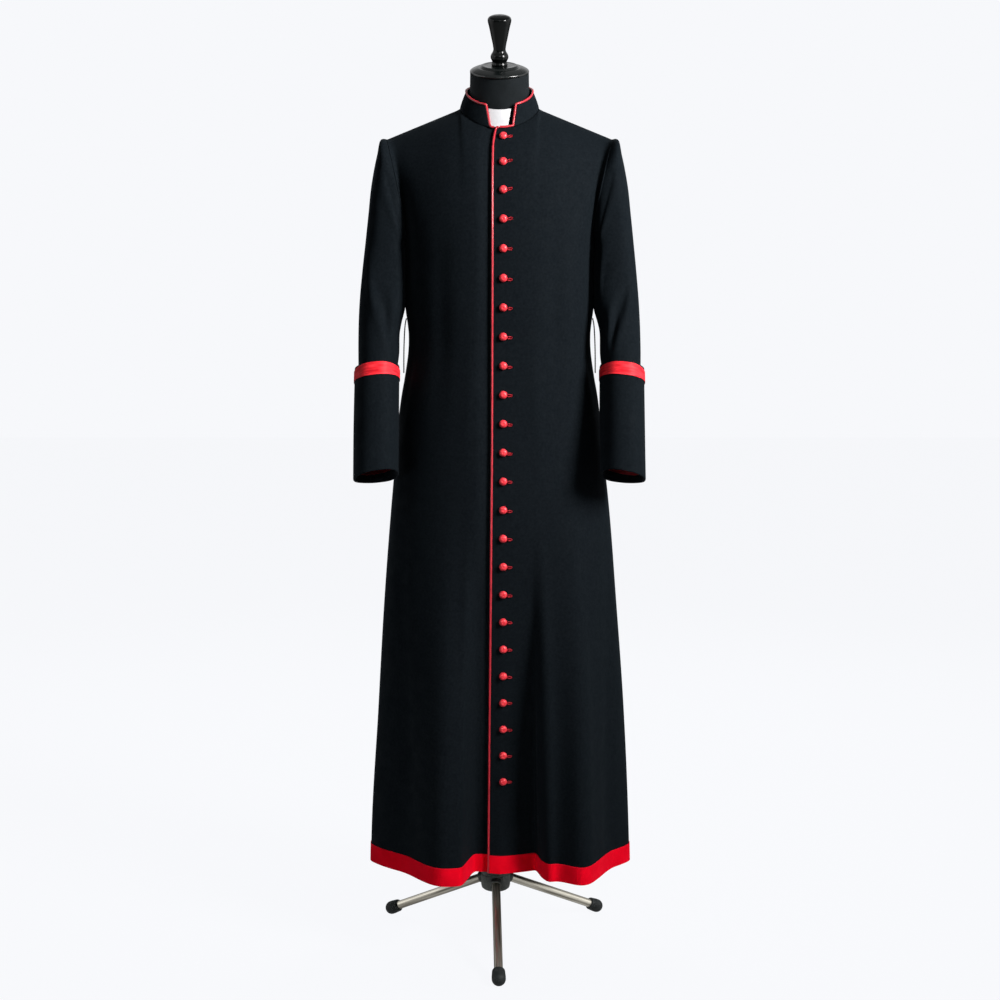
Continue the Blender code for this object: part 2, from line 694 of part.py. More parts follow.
def collar_piping_path():
    """Up the right end of the collar, round its top edge, down the left end and along the notch."""
    out = PIPING_RADIUS + 2 * GAP
    rise = np.array([0.0, 0.0, out])
    up = evenly(0.1, 1.0, NOTCH_ROWS)
    path = [notch_edge(NOTCH_RIGHT, share, out) for share in up]
    path += round_corner(notch_edge(NOTCH_RIGHT, 1.0, 0.0), out, (30, 60, 90))
    start, end = collar_angles(NOTCH_RIGHT[1], NOTCH_LEFT[1], 1.0)
    for angle in evenly(end, start, COLLAR_COLUMNS)[1:-1]:
        path.append(collar_point(angle, 1.0, CLOTH / 2) + rise)
    path += round_corner(notch_edge(NOTCH_LEFT, 1.0, 0.0), out, (90, 120, 150))
    path += [notch_edge(NOTCH_LEFT, share, -out) for share in up[::-1]]
    for x in evenly(NOTCH_LEFT[0] - out, 0.0, NOTCH_ROWS):
        path.append(collar_point(math.asin(x / NECKLINE_HALF), 0.0, CLOTH / 2) + rise)
    return path


def front_piping_path():
    """From the notch, round the top corner of the overlapping front and down its edge to the hem."""
    out = PIPING_RADIUS + 2 * GAP
    points, places = garment_row(2.0, -1)
    edge = edge_x(EDGE_Z[-1])
    start = at_places(points, places, [place_of_x(points, places, PIPING_START_X)])[0]
    seam = np.array([0.0, CLOTH / 2, 0.0])
    path = [start + seam + np.array([0.0, 0.0, out])]
    corner = at_places(points, places, [place_of_x(points, places, edge)])[0] + seam
    path += round_corner(corner, out, (90, 120, 150, 180))
    for level in np.concatenate([evenly(1.95, 1.1, CHEST_STEPS), evenly(1.0, 0.0, SKIRT_STEPS)]):
        points, places = garment_row(level, -1)
        z = at_places(points, places, [0.0])[0, 2]
        place = place_of_x(points, places, edge_x(z) - out)
        path.append(at_places(points, places, [place])[0] + np.array([0.0, PIPING_INSET, 0.0]))
    return path


def loop_path(hand):
    """A slack cord from the side seam above the waist to the seam below it."""
    stations = ((1.214, 0.1726), (1.196, 0.1748), (1.172, 0.1762), (1.140, 0.1770))
    stations += ((1.112, 0.1775), (1.099, 0.1776), (1.091, 0.1776), (1.085, 0.1778))
    return [(hand * x, 0.0, z) for z, x in stations]


# ---------------------------------------------------------------- dress form and stand
def make_form(jersey, black, lacquer):
    rings = []
    angles = 2 * math.pi * np.arange(FORM_SIDES) / FORM_SIDES
    top = FormRing(NECK_TOP[2], 0.0532, 0.0500, 0.0500, 2.0, NECK_TOP[1], math.degrees(NECK_TILT))
    for ring in FORM_RINGS + (top,):
        power = 2 / ring.rounding
        x = ring.half * np.sign(np.sin(angles)) * np.abs(np.sin(angles)) ** power
        depth = np.where(np.cos(angles) > 0, -ring.front, ring.back)
        y = depth * np.abs(np.cos(angles)) ** power
        tilt = math.radians(ring.tilt)
        rings.append(np.column_stack([x, ring.y + y * math.cos(tilt), ring.z + y * math.sin(tilt)]))
    add_object("form_torso", *rings_body(rings), jersey)

    lean = (0.0, -math.sin(NECK_TILT), math.cos(NECK_TILT))
    base = np.array(NECK_TOP) + GAP * np.array(lean)
    points, faces = rings_body(turned(CAP_PROFILE))
    add_object("neck_cap", placed(points, lean, base), faces, black)
    base = base + (CAP_PROFILE[-1][1] + GAP) * np.array(lean)
    points, faces = rings_body(turned(FINIAL_PROFILE))
    add_object("finial", placed(points, lean, base), faces, lacquer)


def foot_mesh(direction, origin):
    """A rubber boot along a leg's end, with a small flat where it stands."""
    centre = FOOT_LENGTH - FOOT_RADIUS
    profile = [(FOOT_MOUTH, 0.0), (FOOT_SHOULDER * FOOT_RADIUS, FOOT_LIP), (FOOT_RADIUS, FOOT_FULL)]
    for step in range(1, FOOT_RINGS + 1):
        angle = math.pi / 2 * step / (FOOT_RINGS + 1)
        profile.append((FOOT_RADIUS * math.cos(angle), centre + FOOT_RADIUS * math.sin(angle)))
    points, faces = rings_body(turned(profile, SMALL_SIDES))
    points = placed(points, direction, origin)
    shell = bmesh.new()
    corners = [shell.verts.new(point) for point in points]
    for face in faces:
        shell.faces.new([corners[index] for index in face])
    cut = bmesh.ops.bisect_plane(
        shell,
        geom=shell.verts[:] + shell.edges[:] + shell.faces[:],
        plane_co=(0, 0, 0),
        plane_no=(0, 0, -1),
        clear_outer=True,
    )
    rim = [item for item in cut["geom_cut"] if isinstance(item, bmesh.types.BMEdge)]
    bmesh.ops.holes_fill(shell, edges=rim)
    shell.verts.index_update()
    points = [vertex.co.copy() for vertex in shell.verts]
    faces = [tuple(vertex.index for vertex in face.verts) for face in shell.faces]
    shell.free()
    return points, faces


def make_stand(nickel, casting, rubber):
    base = np.array([STAND_X, 0.0, 0.0])
    points, faces = rings_body(turned(HUB_PROFILE))
    add_object("stand_hub", points + base, faces, casting)
    pole = ((POLE_RADIUS, HUB_TOP_Z + GAP), (POLE_RADIUS, FORM_BOTTOM_Z - GAP))
    points, faces = rings_body(turned(pole))
    add_object("stand_pole", points + base, faces, nickel)
    for number in range(LEG_COUNT):
        heading = TRIPOD_TURN - math.pi / 2 + 2 * math.pi * number / LEG_COUNT
        out = np.array([math.cos(heading), math.sin(heading), 0.0])
        start = base + LEG_HUB_REACH * out + np.array([0.0, 0.0, LEG_HUB_Z])
        tip = base + FOOT_REACH * out + np.array([0.0, 0.0, FOOT_RADIUS - FOOT_SINK])
        along = (tip - start) / np.linalg.norm(tip - start)
        start = start + LEG_START * along
        boot = tip - (FOOT_LENGTH - FOOT_RADIUS) * along
        length = np.linalg.norm(boot - start) - GAP
        points, faces = rings_body(turned(((LEG_RADIUS, 0.0), (LEG_RADIUS, length)), SMALL_SIDES))
        add_object(f"stand_leg_{number + 1}", placed(points, along, start), faces, nickel)
        points, faces = foot_mesh(along, boot)
        add_object(f"stand_foot_{number + 1}", points, faces, rubber)


# ---------------------------------------------------------------- the whole object
def clear_scene():
    for item in list(bpy.data.objects):
        bpy.data.objects.remove(item)


def main():
    clear_scene()
    wool = material("black_wool", (0.012, 0.015, 0.018), 0.80)
    piping = material("red_piping", (0.50, 0.030, 0.045), 0.45)
    moire = material("red_moire", (0.70, 0.035, 0.050), 0.40)
    ribbon = material("crimson_ribbon", (0.42, 0.004, 0.012), 0.55)
    silk = material("red_silk", (0.62, 0.035, 0.050), 0.40)
    linen = material("white_linen", (0.90, 0.90, 0.92), 0.60)
    jersey = material("black_jersey", (0.016, 0.019, 0.021), 0.90)
    satin_black = material("satin_black", (0.012, 0.014, 0.014), 0.35)
    lacquer = material("black_lacquer", (0.006, 0.007, 0.007), 0.12)
    nickel = material("satin_nickel", (0.55, 0.53, 0.49), 0.30, 1.0)
    casting = material("grey_casting", (0.18, 0.19, 0.18), 0.50, 0.6)
    rubber = material("black_rubber", (0.020, 0.022, 0.022), 0.65)

    for name in ("front_left", "front_right", "back"):
        make_panel(name, wool)
        make_hem_band(name, ribbon)
    for suffix, hand in (("left", 1.0), ("right", -1.0)):
        make_arm(suffix, hand, wool, moire, silk)
        add_object("sash_loop_" + suffix, *tube(loop_path(hand), LOOP_RADIUS), wool)
    make_collar(wool, linen)
    add_object("collar_piping", *tube(collar_piping_path(), PIPING_RADIUS), piping)
    add_object("front_piping", *tube(front_piping_path(), PIPING_RADIUS), piping)
    make_buttons(silk)
    make_form(jersey, satin_black, lacquer)
    make_stand(nickel, casting, rubber)


main()
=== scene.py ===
"""Looks for the cassock on its dress form stand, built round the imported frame.

The garment's surface is worked out as its solids' is: horizontal sections from hem to chest, and curved
columns from the chest to the neckline, the shoulder seams and the armholes. Here it is drawn finely,
with creases, seams, rolled edges, sewn trims and woven materials, so it leaves the solids by up to
18 mm. Sizes are in metres.
"""

import math
from collections import namedtuple

import bpy
import numpy as np
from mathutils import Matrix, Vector


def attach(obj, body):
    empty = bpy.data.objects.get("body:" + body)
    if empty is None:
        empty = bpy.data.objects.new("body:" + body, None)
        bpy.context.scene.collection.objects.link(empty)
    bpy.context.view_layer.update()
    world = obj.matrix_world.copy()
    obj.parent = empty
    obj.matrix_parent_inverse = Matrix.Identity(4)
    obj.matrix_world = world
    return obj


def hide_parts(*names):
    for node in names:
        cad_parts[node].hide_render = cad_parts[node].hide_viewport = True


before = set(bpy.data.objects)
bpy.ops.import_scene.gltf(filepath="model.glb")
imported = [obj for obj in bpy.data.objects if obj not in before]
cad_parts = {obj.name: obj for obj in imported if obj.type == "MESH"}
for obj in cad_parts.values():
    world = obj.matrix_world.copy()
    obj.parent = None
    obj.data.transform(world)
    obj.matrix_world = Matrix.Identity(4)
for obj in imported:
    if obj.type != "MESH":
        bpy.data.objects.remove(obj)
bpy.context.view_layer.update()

# ---------------------------------------------------------------- driving sizes
AXIS_Y = 0.0192
CLOTH = 0.0020
GAP = 0.0003
HEM_Z = 0.1500
CHEST_Z = 1.3000
SPAN_POINTS = 601
NECKLINE_HALF = 0.0725
NECKLINE_FRONT = 0.0700
NECKLINE_BACK = 0.0620
NECKLINE_SIDE_Z = 1.5650
NECKLINE_FRONT_DROP = 0.0420
NECKLINE_BACK_RISE = 0.0130
SHOULDER_X = 0.2045
SHOULDER_Z = 1.5115
UNDERARM_X = 0.1700
UNDERARM_Z = 1.3350
ARMHOLE_HALF_DEPTH = 0.0660
ARMHOLE_CURVE = 1.5
ARMHOLE_GAP = 0.0006
NECK_SHARE = 0.28
SHOULDER_SHARE = 0.60
ARMHOLE_PACE = 0.7
PULL_PLACES = (0, NECK_SHARE, SHOULDER_SHARE, 1)
PULL_UPRIGHT = (0.66, 0.80, 0.84, 0.60)
PULL_ACROSS = 0.25
PULL_BACK = -0.14
UNDERLAP_X = 0.0180
UNDERLAP_INSET = 0.0052
UNDERLAP_FADE = 0.0250
UNDERLAP_BEYOND = 0.0060
BUTTON_X = 0.0065
BUTTON_COUNT = 24
BUTTON_TOP = 0.0187
BUTTON_PITCH = 0.0517
BUTTON_RADIUS = 0.0073
BUTTON_HEIGHT = 0.0068
HOLE_REACH = 0.0116  # from the button's centre to the middle of the hole's stitched end
HOLE_RAISE = 0.0010
HOLE_HALF_LENGTH = 0.0042
HOLE_HALF_HEIGHT = 0.0017
HOLE_THREAD = 0.00095
PIPING_RADIUS = 0.0021
PIPING_INSET = 0.0006
PIPING_START_X = -0.0012
PIPING_TAIL_X = -0.0096
COLLAR_TOP_HALF = 0.0615
COLLAR_TOP_FRONT = 0.0600
COLLAR_TOP_BACK = 0.0520
COLLAR_TOP_Z = 1.5954
COLLAR_FRONT_DROP = 0.0340
COLLAR_BACK_RISE = 0.0170
NOTCH_RIGHT = (-0.0190, -0.0262)
NOTCH_LEFT = (0.0262, 0.0316)
TAB_LOW_ENDS = (-0.0166, 0.0163)
TAB_HIGH_ENDS = (-0.0222, 0.0230)
TAB_INSET = 0.0038
TAB_THICKNESS = 0.0010
TAB_SHARES = (0.06, 0.90)
HEM_BAND = 0.0290
BAND_THICKNESS = 0.0010
CUFF_BAND_SHARE = 0.122
BAND_NARROWING = 0.0065
CUFF_ROLL = 0.0021  # radius of the turned lower edge
CUFF_TURN_UP = 0.010
CUFF_WALL = 0.0009
LINING_SHARES = (0.11, 0.95)
LOOP_RADIUS = 0.0011
STAND_X = -0.0075
TRIPOD_TURN = math.radians(1.5)
LEG_COUNT = 3
LEG_RADIUS = 0.0081
LEG_HUB_REACH = 0.0284
LEG_HUB_Z = 0.1120
FOOT_REACH = 0.2367
FOOT_RADIUS = 0.0128
FOOT_LENGTH = 0.0330
FOOT_SINK = 0.0008
HUB_TOP_Z = 0.1620
POLE_RADIUS = 0.0125
FORM_BOTTOM_Z = 0.8000
NECK_TILT = math.radians(20)
NECK_TOP = (0.0, -0.0100, 1.6280)

Section = namedtuple("Section", "z half front back front_round back_round shift")
SECTIONS = (
    Section(HEM_Z, 0.2500, 0.155, 0.200, 1.30, 1.80, 0.0010),
    Section(0.210, 0.2480, 0.152, 0.196, 1.36, 1.85, 0.0010),
    Section(0.440, 0.2348, 0.142, 0.178, 1.65, 2.00, 0.0027),
    Section(0.660, 0.2188, 0.132, 0.158, 1.95, 2.10, 0.0012),
    Section(0.880, 0.1995, 0.126, 0.140, 2.15, 2.20, 0.0010),
    Section(0.960, 0.1905, 0.124, 0.130, 2.20, 2.20, 0.0000),
    Section(1.050, 0.1800, 0.122, 0.115, 2.30, 2.30, 0.0000),
    Section(1.137, 0.1680, 0.122, 0.108, 2.40, 2.35, 0.0000),
    Section(1.200, 0.1695, 0.126, 0.112, 2.45, 2.40, 0.0000),
    Section(CHEST_Z, 0.1720, 0.128, 0.118, 2.50, 2.40, 0.0000),
)

# Folds of the skirt. Place, flat and fade are shares of the half width; depth is outwards at the hem.
Fold = namedtuple("Fold", "place flat fade depth top")
FRONT_FOLDS = (
    Fold(-0.47, 0.00, 0.30, 0.034, 0.90),
    Fold(0.04, 0.22, 0.12, -0.0765, 0.85),
    Fold(0.63, 0.00, 0.25, 0.051, 0.98),
)
BACK_FOLDS = (
    Fold(-0.60, 0.00, 0.26, 0.022, 0.90),
    Fold(-0.26, 0.00, 0.20, -0.032, 0.80),
    Fold(0.05, 0.02, 0.20, 0.010, 0.95),
    Fold(0.36, 0.02, 0.18, -0.034, 0.85),
    Fold(0.66, 0.00, 0.24, 0.020, 0.90),
)
EDGE_Z = (HEM_Z, 0.95, 1.30, 1.44, 1.487, 1.507, 1.525)
EDGE_X = (-0.0190, -0.0115, -0.0105, -0.0104, -0.0098, -0.0076, -0.0040)

# Under the arms body and sleeve lean on each other: each is pushed out to meet the other
Contact = namedtuple("Contact", "z push")
CONTACTS = (
    Contact(1.160, 0.0000),
    Contact(1.182, 0.0018),
    Contact(1.196, 0.0036),
    Contact(1.210, 0.0048),
    Contact(1.228, 0.0042),
    Contact(1.262, 0.0034),
    Contact(1.306, 0.0024),
    Contact(1.332, 0.0022),
    Contact(1.352, 0.0000),
)
# Below the waist only the body swells out, until it touches the cuffs
HIP_CONTACTS = (
    Contact(0.900, 0.0000),
    Contact(0.970, 0.0012),
    Contact(1.010, 0.0022),
    Contact(1.035, 0.0018),
    Contact(1.070, 0.0000),
)
# Creases, listed one by one. Place runs round the half from the side seam on the wearer's right (-1) to
# the one on the left (1); lean is the change of place for each metre up; depth is outwards.
Crease = namedtuple("Crease", "place z length width depth lean")
FRONT_CREASES = (
    Crease(-0.80, 1.290, 0.110, 0.075, -0.0022, 0.60),
    Crease(0.80, 1.280, 0.100, 0.070, -0.0020, -0.70),
    Crease(-0.44, 1.180, 0.260, 0.075, -0.0030, 0.10),
    Crease(0.42, 1.200, 0.240, 0.070, -0.0026, -0.12),
    Crease(-0.22, 1.060, 0.200, 0.050, 0.0014, 0.05),
    Crease(0.27, 1.020, 0.230, 0.055, 0.0016, -0.08),
    Crease(-0.78, 1.080, 0.160, 0.060, -0.0024, 0.55),
    Crease(0.80, 1.100, 0.150, 0.055, -0.0022, -0.50),
    Crease(-0.28, 0.560, 0.420, 0.060, -0.0024, 0.04),
    Crease(-0.70, 0.500, 0.460, 0.060, -0.0046, -0.05),
    Crease(-0.12, 0.420, 0.320, 0.050, 0.0010, 0.02),
    Crease(0.54, 0.450, 0.500, 0.055, 0.0050, -0.10),
    Crease(0.29, 0.400, 0.440, 0.095, 0.0110, -0.04),
    Crease(0.80, 0.520, 0.440, 0.055, -0.0050, 0.05),
)
BACK_CREASES = (
    Crease(-0.10, 1.420, 0.160, 0.050, -0.0020, 0.60),
    Crease(0.12, 1.430, 0.150, 0.045, -0.0018, -0.70),
    Crease(-0.78, 1.330, 0.130, 0.060, -0.0030, 0.80),
    Crease(0.80, 1.320, 0.140, 0.065, -0.0028, -0.85),
    Crease(-0.34, 1.170, 0.240, 0.070, -0.0034, 0.12),
    Crease(0.36, 1.160, 0.250, 0.065, -0.0030, -0.10),
    Crease(0.00, 1.120, 0.180, 0.060, 0.0020, 0.00),
    Crease(-0.44, 0.620, 0.380, 0.045, 0.0040, 0.04),
    Crease(0.17, 0.560, 0.360, 0.040, 0.0044, -0.05),
    Crease(0.52, 0.640, 0.340, 0.045, 0.0036, 0.03),
    Crease(-0.82, 0.520, 0.420, 0.050, -0.0046, -0.04),
    Crease(0.84, 0.480, 0.440, 0.050, -0.0040, 0.05),
)

# Sleeve rings of the wearer's left arm: outer and inner point, then centre depth, half depth, pitch
Ring = namedtuple("Ring", "outer_x outer_z inner_x inner_z y half_depth pitch")
SLEEVE_RINGS = (
    Ring(0.2150, 1.5080, 0.1738, 1.3290, 0.000, 0.0680, 0),
    Ring(0.2222, 1.4815, 0.1745, 1.3210, 0.000, 0.0725, 0),
    Ring(0.2330, 1.4270, 0.1750, 1.3060, 0.000, 0.0730, 0),
    Ring(0.2383, 1.3740, 0.1752, 1.2860, -0.002, 0.0715, 1),
    Ring(0.2431, 1.3230, 0.1760, 1.2620, -0.005, 0.0690, 2),
    Ring(0.2488, 1.2670, 0.1770, 1.2280, -0.011, 0.0660, 4),
    Ring(0.2540, 1.2150, 0.1788, 1.1920, -0.021, 0.0630, 7),
    Ring(0.2566, 1.1700, 0.1802, 1.1600, -0.033, 0.0600, 10),
    Ring(0.2570, 1.1280, 0.1820, 1.1320, -0.046, 0.0575, 13),
    Ring(0.2565, 1.0900, 0.1862, 1.0980, -0.058, 0.0560, 14),
    Ring(0.2585, 0.9920, 0.1858, 1.0050, -0.087, 0.0550, 16),
    Ring(0.2600, 0.9010, 0.1852, 0.9155, -0.116, 0.0532, 17),
)
CUFF_RINGS = (
    Ring(0.2630, 1.0915, 0.1825, 1.0995, -0.058, 0.0610, 14),
    Ring(0.2635, 0.9920, 0.1820, 1.0050, -0.087, 0.0600, 16),
    Ring(0.2630, 0.8975, 0.1820, 0.9125, -0.116, 0.0565, 17),
)

ARM_ROUNDING = 2.35
UPPER_FLATNESS = 0.70
INNER_FLATNESS = 2.40

# Sleeve creases: height of the crease's middle, angle from the outer point towards the front, lean in
# degrees for each metre up
ArmCrease = namedtuple("ArmCrease", "z angle length width depth lean")
LEFT_ARM_CREASES = (
    ArmCrease(1.183, 100, 0.085, 9, -0.0062, -403),
    ArmCrease(1.186, 84, 0.090, 11, 0.0032, -403),
    ArmCrease(1.178, 116, 0.080, 11, 0.0040, -400),
    ArmCrease(1.150, 144, 0.055, 12, -0.0046, -260),
    ArmCrease(1.262, 112, 0.070, 12, -0.0024, -300),
    ArmCrease(1.330, 150, 0.090, 26, -0.0042, 320),
    ArmCrease(1.300, 30, 0.160, 24, 0.0022, -40),
    ArmCrease(1.160, 190, 0.060, 26, -0.0044, 380),
    ArmCrease(1.200, 230, 0.080, 26, 0.0024, 240),
    ArmCrease(1.290, 280, 0.140, 30, -0.0030, 120),
    ArmCrease(1.120, 320, 0.090, 30, 0.0026, -160),
)
RIGHT_ARM_CREASES = (
    ArmCrease(1.190, 105, 0.080, 11, -0.0050, -360),
    ArmCrease(1.196, 88, 0.085, 12, 0.0030, -360),
    ArmCrease(1.178, 122, 0.070, 12, 0.0034, -340),
    ArmCrease(1.140, 150, 0.055, 13, -0.0044, -300),
    ArmCrease(1.255, 66, 0.090, 14, 0.0024, -240),
    ArmCrease(1.345, 145, 0.100, 24, -0.0040, 300),
    ArmCrease(1.270, 25, 0.180, 22, 0.0024, 30),
    ArmCrease(1.175, 200, 0.070, 24, -0.0040, 340),
    ArmCrease(1.220, 240, 0.090, 28, 0.0022, 200),
    ArmCrease(1.310, 285, 0.120, 30, -0.0028, 150),
    ArmCrease(1.110, 315, 0.080, 28, 0.0024, -140),
)

FormRing = namedtuple("FormRing", "z half front back rounding y tilt")
FORM_RINGS = (
    FormRing(FORM_BOTTOM_Z, 0.160, 0.098, 0.100, 2.2, 0.000, 0),
    FormRing(0.815, 0.170, 0.107, 0.110, 2.2, 0.000, 0),
    FormRing(0.900, 0.179, 0.111, 0.117, 2.2, 0.000, 0),
    FormRing(0.960, 0.176, 0.111, 0.113, 2.2, 0.000, 0),
    FormRing(1.050, 0.163, 0.108, 0.102, 2.3, 0.000, 0),
    FormRing(1.137, 0.157, 0.108, 0.096, 2.3, 0.000, 0),
    FormRing(1.200, 0.158, 0.111, 0.099, 2.4, 0.000, 0),
    FormRing(1.300, 0.162, 0.117, 0.107, 2.4, 0.000, 0),
    FormRing(1.360, 0.164, 0.115, 0.109, 2.3, 0.000, 0),
    FormRing(1.420, 0.168, 0.102, 0.105, 2.2, 0.000, 0),
    FormRing(1.460, 0.172, 0.086, 0.092, 2.1, 0.000, 0),
    FormRing(1.490, 0.172, 0.066, 0.074, 2.0, 0.000, 0),
    FormRing(1.510, 0.158, 0.052, 0.058, 2.0, 0.000, 0),
    FormRing(1.528, 0.130, 0.044, 0.046, 2.0, 0.000, 0),
    FormRing(1.543, 0.094, 0.042, 0.042, 2.0, 0.000, 2),
    FormRing(1.556, 0.066, 0.046, 0.044, 2.0, 0.000, 8),
    FormRing(1.574, 0.0560, 0.048, 0.046, 2.0, -0.001, 14),
    FormRing(1.600, 0.0540, 0.049, 0.047, 2.0, -0.005, 18),
    FormRing(NECK_TOP[2], 0.0532, 0.0500, 0.0500, 2.0, NECK_TOP[1], 20),
)

# Turned profiles: radius, height
CAP_PROFILE = (
    (0.0010, 0.0000),
    (0.0515, 0.0000),
    (0.0531, 0.0008),
    (0.0537, 0.0024),
    (0.0531, 0.0041),
    (0.0515, 0.0055),
    (0.0470, 0.0078),
    (0.0400, 0.0102),
    (0.0348, 0.0112),
    (0.0343, 0.0124),
    (0.0332, 0.0131),
    (0.0240, 0.0133),
    (0.0010, 0.0134),
)
FINIAL_PROFILE = (
    (0.0010, 0.0000),
    (0.0140, 0.0000),
    (0.0147, 0.0018),
    (0.0140, 0.0040),
    (0.0132, 0.0060),
    (0.0142, 0.0090),
    (0.0158, 0.0125),
    (0.0162, 0.0155),
    (0.0151, 0.0195),
    (0.0126, 0.0235),
    (0.0111, 0.0275),
    (0.0116, 0.0330),
    (0.0150, 0.0500),
    (0.0190, 0.0690),
    (0.0210, 0.0770),
    (0.0213, 0.0795),
    (0.0208, 0.0825),
    (0.0185, 0.0853),
    (0.0130, 0.0877),
    (0.0010, 0.0892),
)
HUB_PROFILE = (
    (0.0010, 0.0940),
    (0.0150, 0.0940),
    (0.0236, 0.0950),
    (0.0268, 0.0978),
    (0.0280, 0.1030),
    (0.0280, 0.1240),
    (0.0274, 0.1246),
    (0.0274, 0.1262),
    (0.0280, 0.1268),
    (0.0280, 0.1470),
    (0.0268, 0.1512),
    (0.0236, 0.1540),
    (0.0176, 0.1556),
    (0.0165, 0.1580),
    (0.0165, HUB_TOP_Z),
    (0.0010, HUB_TOP_Z),
)

# ---------------------------------------------------------------- fineness
SKIRT_ROWS = 200
CHEST_ROWS = 64
NECK_COLUMNS = 22
SEAM_COLUMNS = 22
ARMHOLE_COLUMNS = 28
SLEEVE_SIDES = 96
SLEEVE_ROWS = 120
CUFF_ROWS = 44


# ---------------------------------------------------------------- materials
class Surface:
    """A Principled material and short ways to give it woven or grained detail."""

    def __init__(self, name, colour, roughness, metallic=0.0, **sockets):
        self.material = bpy.data.materials.new(name)
        self.material.use_nodes = True
        self.nodes = self.material.node_tree.nodes
        self.links = self.material.node_tree.links
        self.shader = self.nodes["Principled BSDF"]
        self.shader.inputs["Base Color"].default_value = (*colour, 1.0)
        self.shader.inputs["Roughness"].default_value = roughness
        self.shader.inputs["Metallic"].default_value = metallic
        for socket, value in sockets.items():
            self.shader.inputs[socket.replace("_", " ")].default_value = value
        self.heights = []

    def node(self, kind, **settings):
        made = self.nodes.new(kind)
        for key, value in settings.items():
            setattr(made, key, value)
        return made

    def coordinates(self, output, scale=(1.0, 1.0, 1.0), turn=0.0):
        """Object or UV coordinates in metres, scaled and turned about Z."""
        source = self.node("ShaderNodeTexCoord")
        mapping = self.node("ShaderNodeMapping")
        mapping.inputs["Scale"].default_value = scale
        mapping.inputs["Rotation"].default_value = (0.0, 0.0, turn)
        self.links.new(source.outputs[output], mapping.inputs["Vector"])
        return mapping.outputs["Vector"]

    def noise(self, scale, detail=3.0, rough=0.55, output="Object", stretch=(1.0, 1.0, 1.0)):
        made = self.node("ShaderNodeTexNoise")
        made.inputs["Scale"].default_value = scale
        made.inputs["Detail"].default_value = detail
        made.inputs["Roughness"].default_value = rough
        self.links.new(self.coordinates(output, stretch), made.inputs["Vector"])
        return made.outputs["Fac"]

    def bands(self, pitch, direction="X", turn=0.0, distortion=0.0, output="UV"):
        """Parallel threads of one pitch across the UV grid, whose unit is the metre."""
        made = self.node("ShaderNodeTexWave", bands_direction=direction)
        made.inputs["Scale"].default_value = 2 * math.pi / (20.0 * pitch)
        made.inputs["Distortion"].default_value = distortion
        self.links.new(self.coordinates(output, turn=turn), made.inputs["Vector"])
        return made.outputs["Fac"]

    def ramp(self, value, low, high, start, end):
        """Colour from low to high as a value goes from start to end."""
        made = self.node("ShaderNodeValToRGB")
        made.color_ramp.elements[0].position = start
        made.color_ramp.elements[0].color = (*low, 1.0)
        made.color_ramp.elements[1].position = end
        made.color_ramp.elements[1].color = (*high, 1.0)
        self.links.new(value, made.inputs["Fac"])
        return made.outputs["Color"]

    def colour(self, value, low, high, start=0.3, end=0.7):
        self.links.new(self.ramp(value, low, high, start, end), self.shader.inputs["Base Color"])

    def roughness(self, value, low, high):
        made = self.node("ShaderNodeMapRange")
        made.inputs["From Min"].default_value = 0.3
        made.inputs["From Max"].default_value = 0.7
        made.inputs["To Min"].default_value = low
        made.inputs["To Max"].default_value = high
        self.links.new(value, made.inputs["Value"])
        self.links.new(made.outputs["Result"], self.shader.inputs["Roughness"])

    def bump(self, value, height, strength=1.0):
        """One more layer of relief, its height in metres."""
        made = self.node("ShaderNodeBump")
        made.inputs["Strength"].default_value = strength
        made.inputs["Distance"].default_value = height
        self.links.new(value, made.inputs["Height"])
        if self.heights:
            self.links.new(self.heights[-1], made.inputs["Normal"])
        self.heights.append(made.outputs["Normal"])
        self.links.new(made.outputs["Normal"], self.shader.inputs["Normal"])


def black_wool():
    made = Surface("black_wool", (0.008, 0.010, 0.012), 0.80, Sheen_Weight=0.010, Sheen_Roughness=0.40,
                   Sheen_Tint=(0.72, 0.88, 1.0, 1.0), Specular_IOR_Level=0.02)
    made.colour(made.noise(240.0, 4.0, 0.70), (0.0026, 0.0040, 0.0054), (0.0060, 0.0082, 0.0103))
    made.roughness(made.noise(45.0), 0.72, 0.88)
    made.bump(made.bands(0.0011, "DIAGONAL"), 0.00012, 0.5)
    made.bump(made.noise(900.0, 2.0), 0.00020, 0.5)
    made.bump(made.noise(320.0, 3.0), 0.00022, 0.5)
    made.bump(made.noise(28.0, 3.0), 0.0012, 0.12)
    return made.material


def piping_satin():
    made = Surface("piping_satin", (0.50, 0.012, 0.022), 0.30, Specular_IOR_Level=0.55)
    made.colour(made.noise(120.0), (0.32, 0.008, 0.018), (0.50, 0.022, 0.036))
    made.bump(made.bands(0.0009, "DIAGONAL"), 0.00004, 0.5)
    made.roughness(made.noise(220.0), 0.28, 0.40)
    return made.material


def moire():
    made = Surface("moire", (0.80, 0.020, 0.034), 0.45, Specular_IOR_Level=0.08)
    water = made.noise(95.0, 5.0, 0.68, "UV", (0.30, 2.2, 1.0))
    made.colour(water, (0.50, 0.006, 0.014), (0.93, 0.034, 0.046), 0.36, 0.60)
    made.roughness(water, 0.55, 0.34)
    made.bump(made.bands(0.0012, "Y"), 0.00012, 0.6)
    return made.material


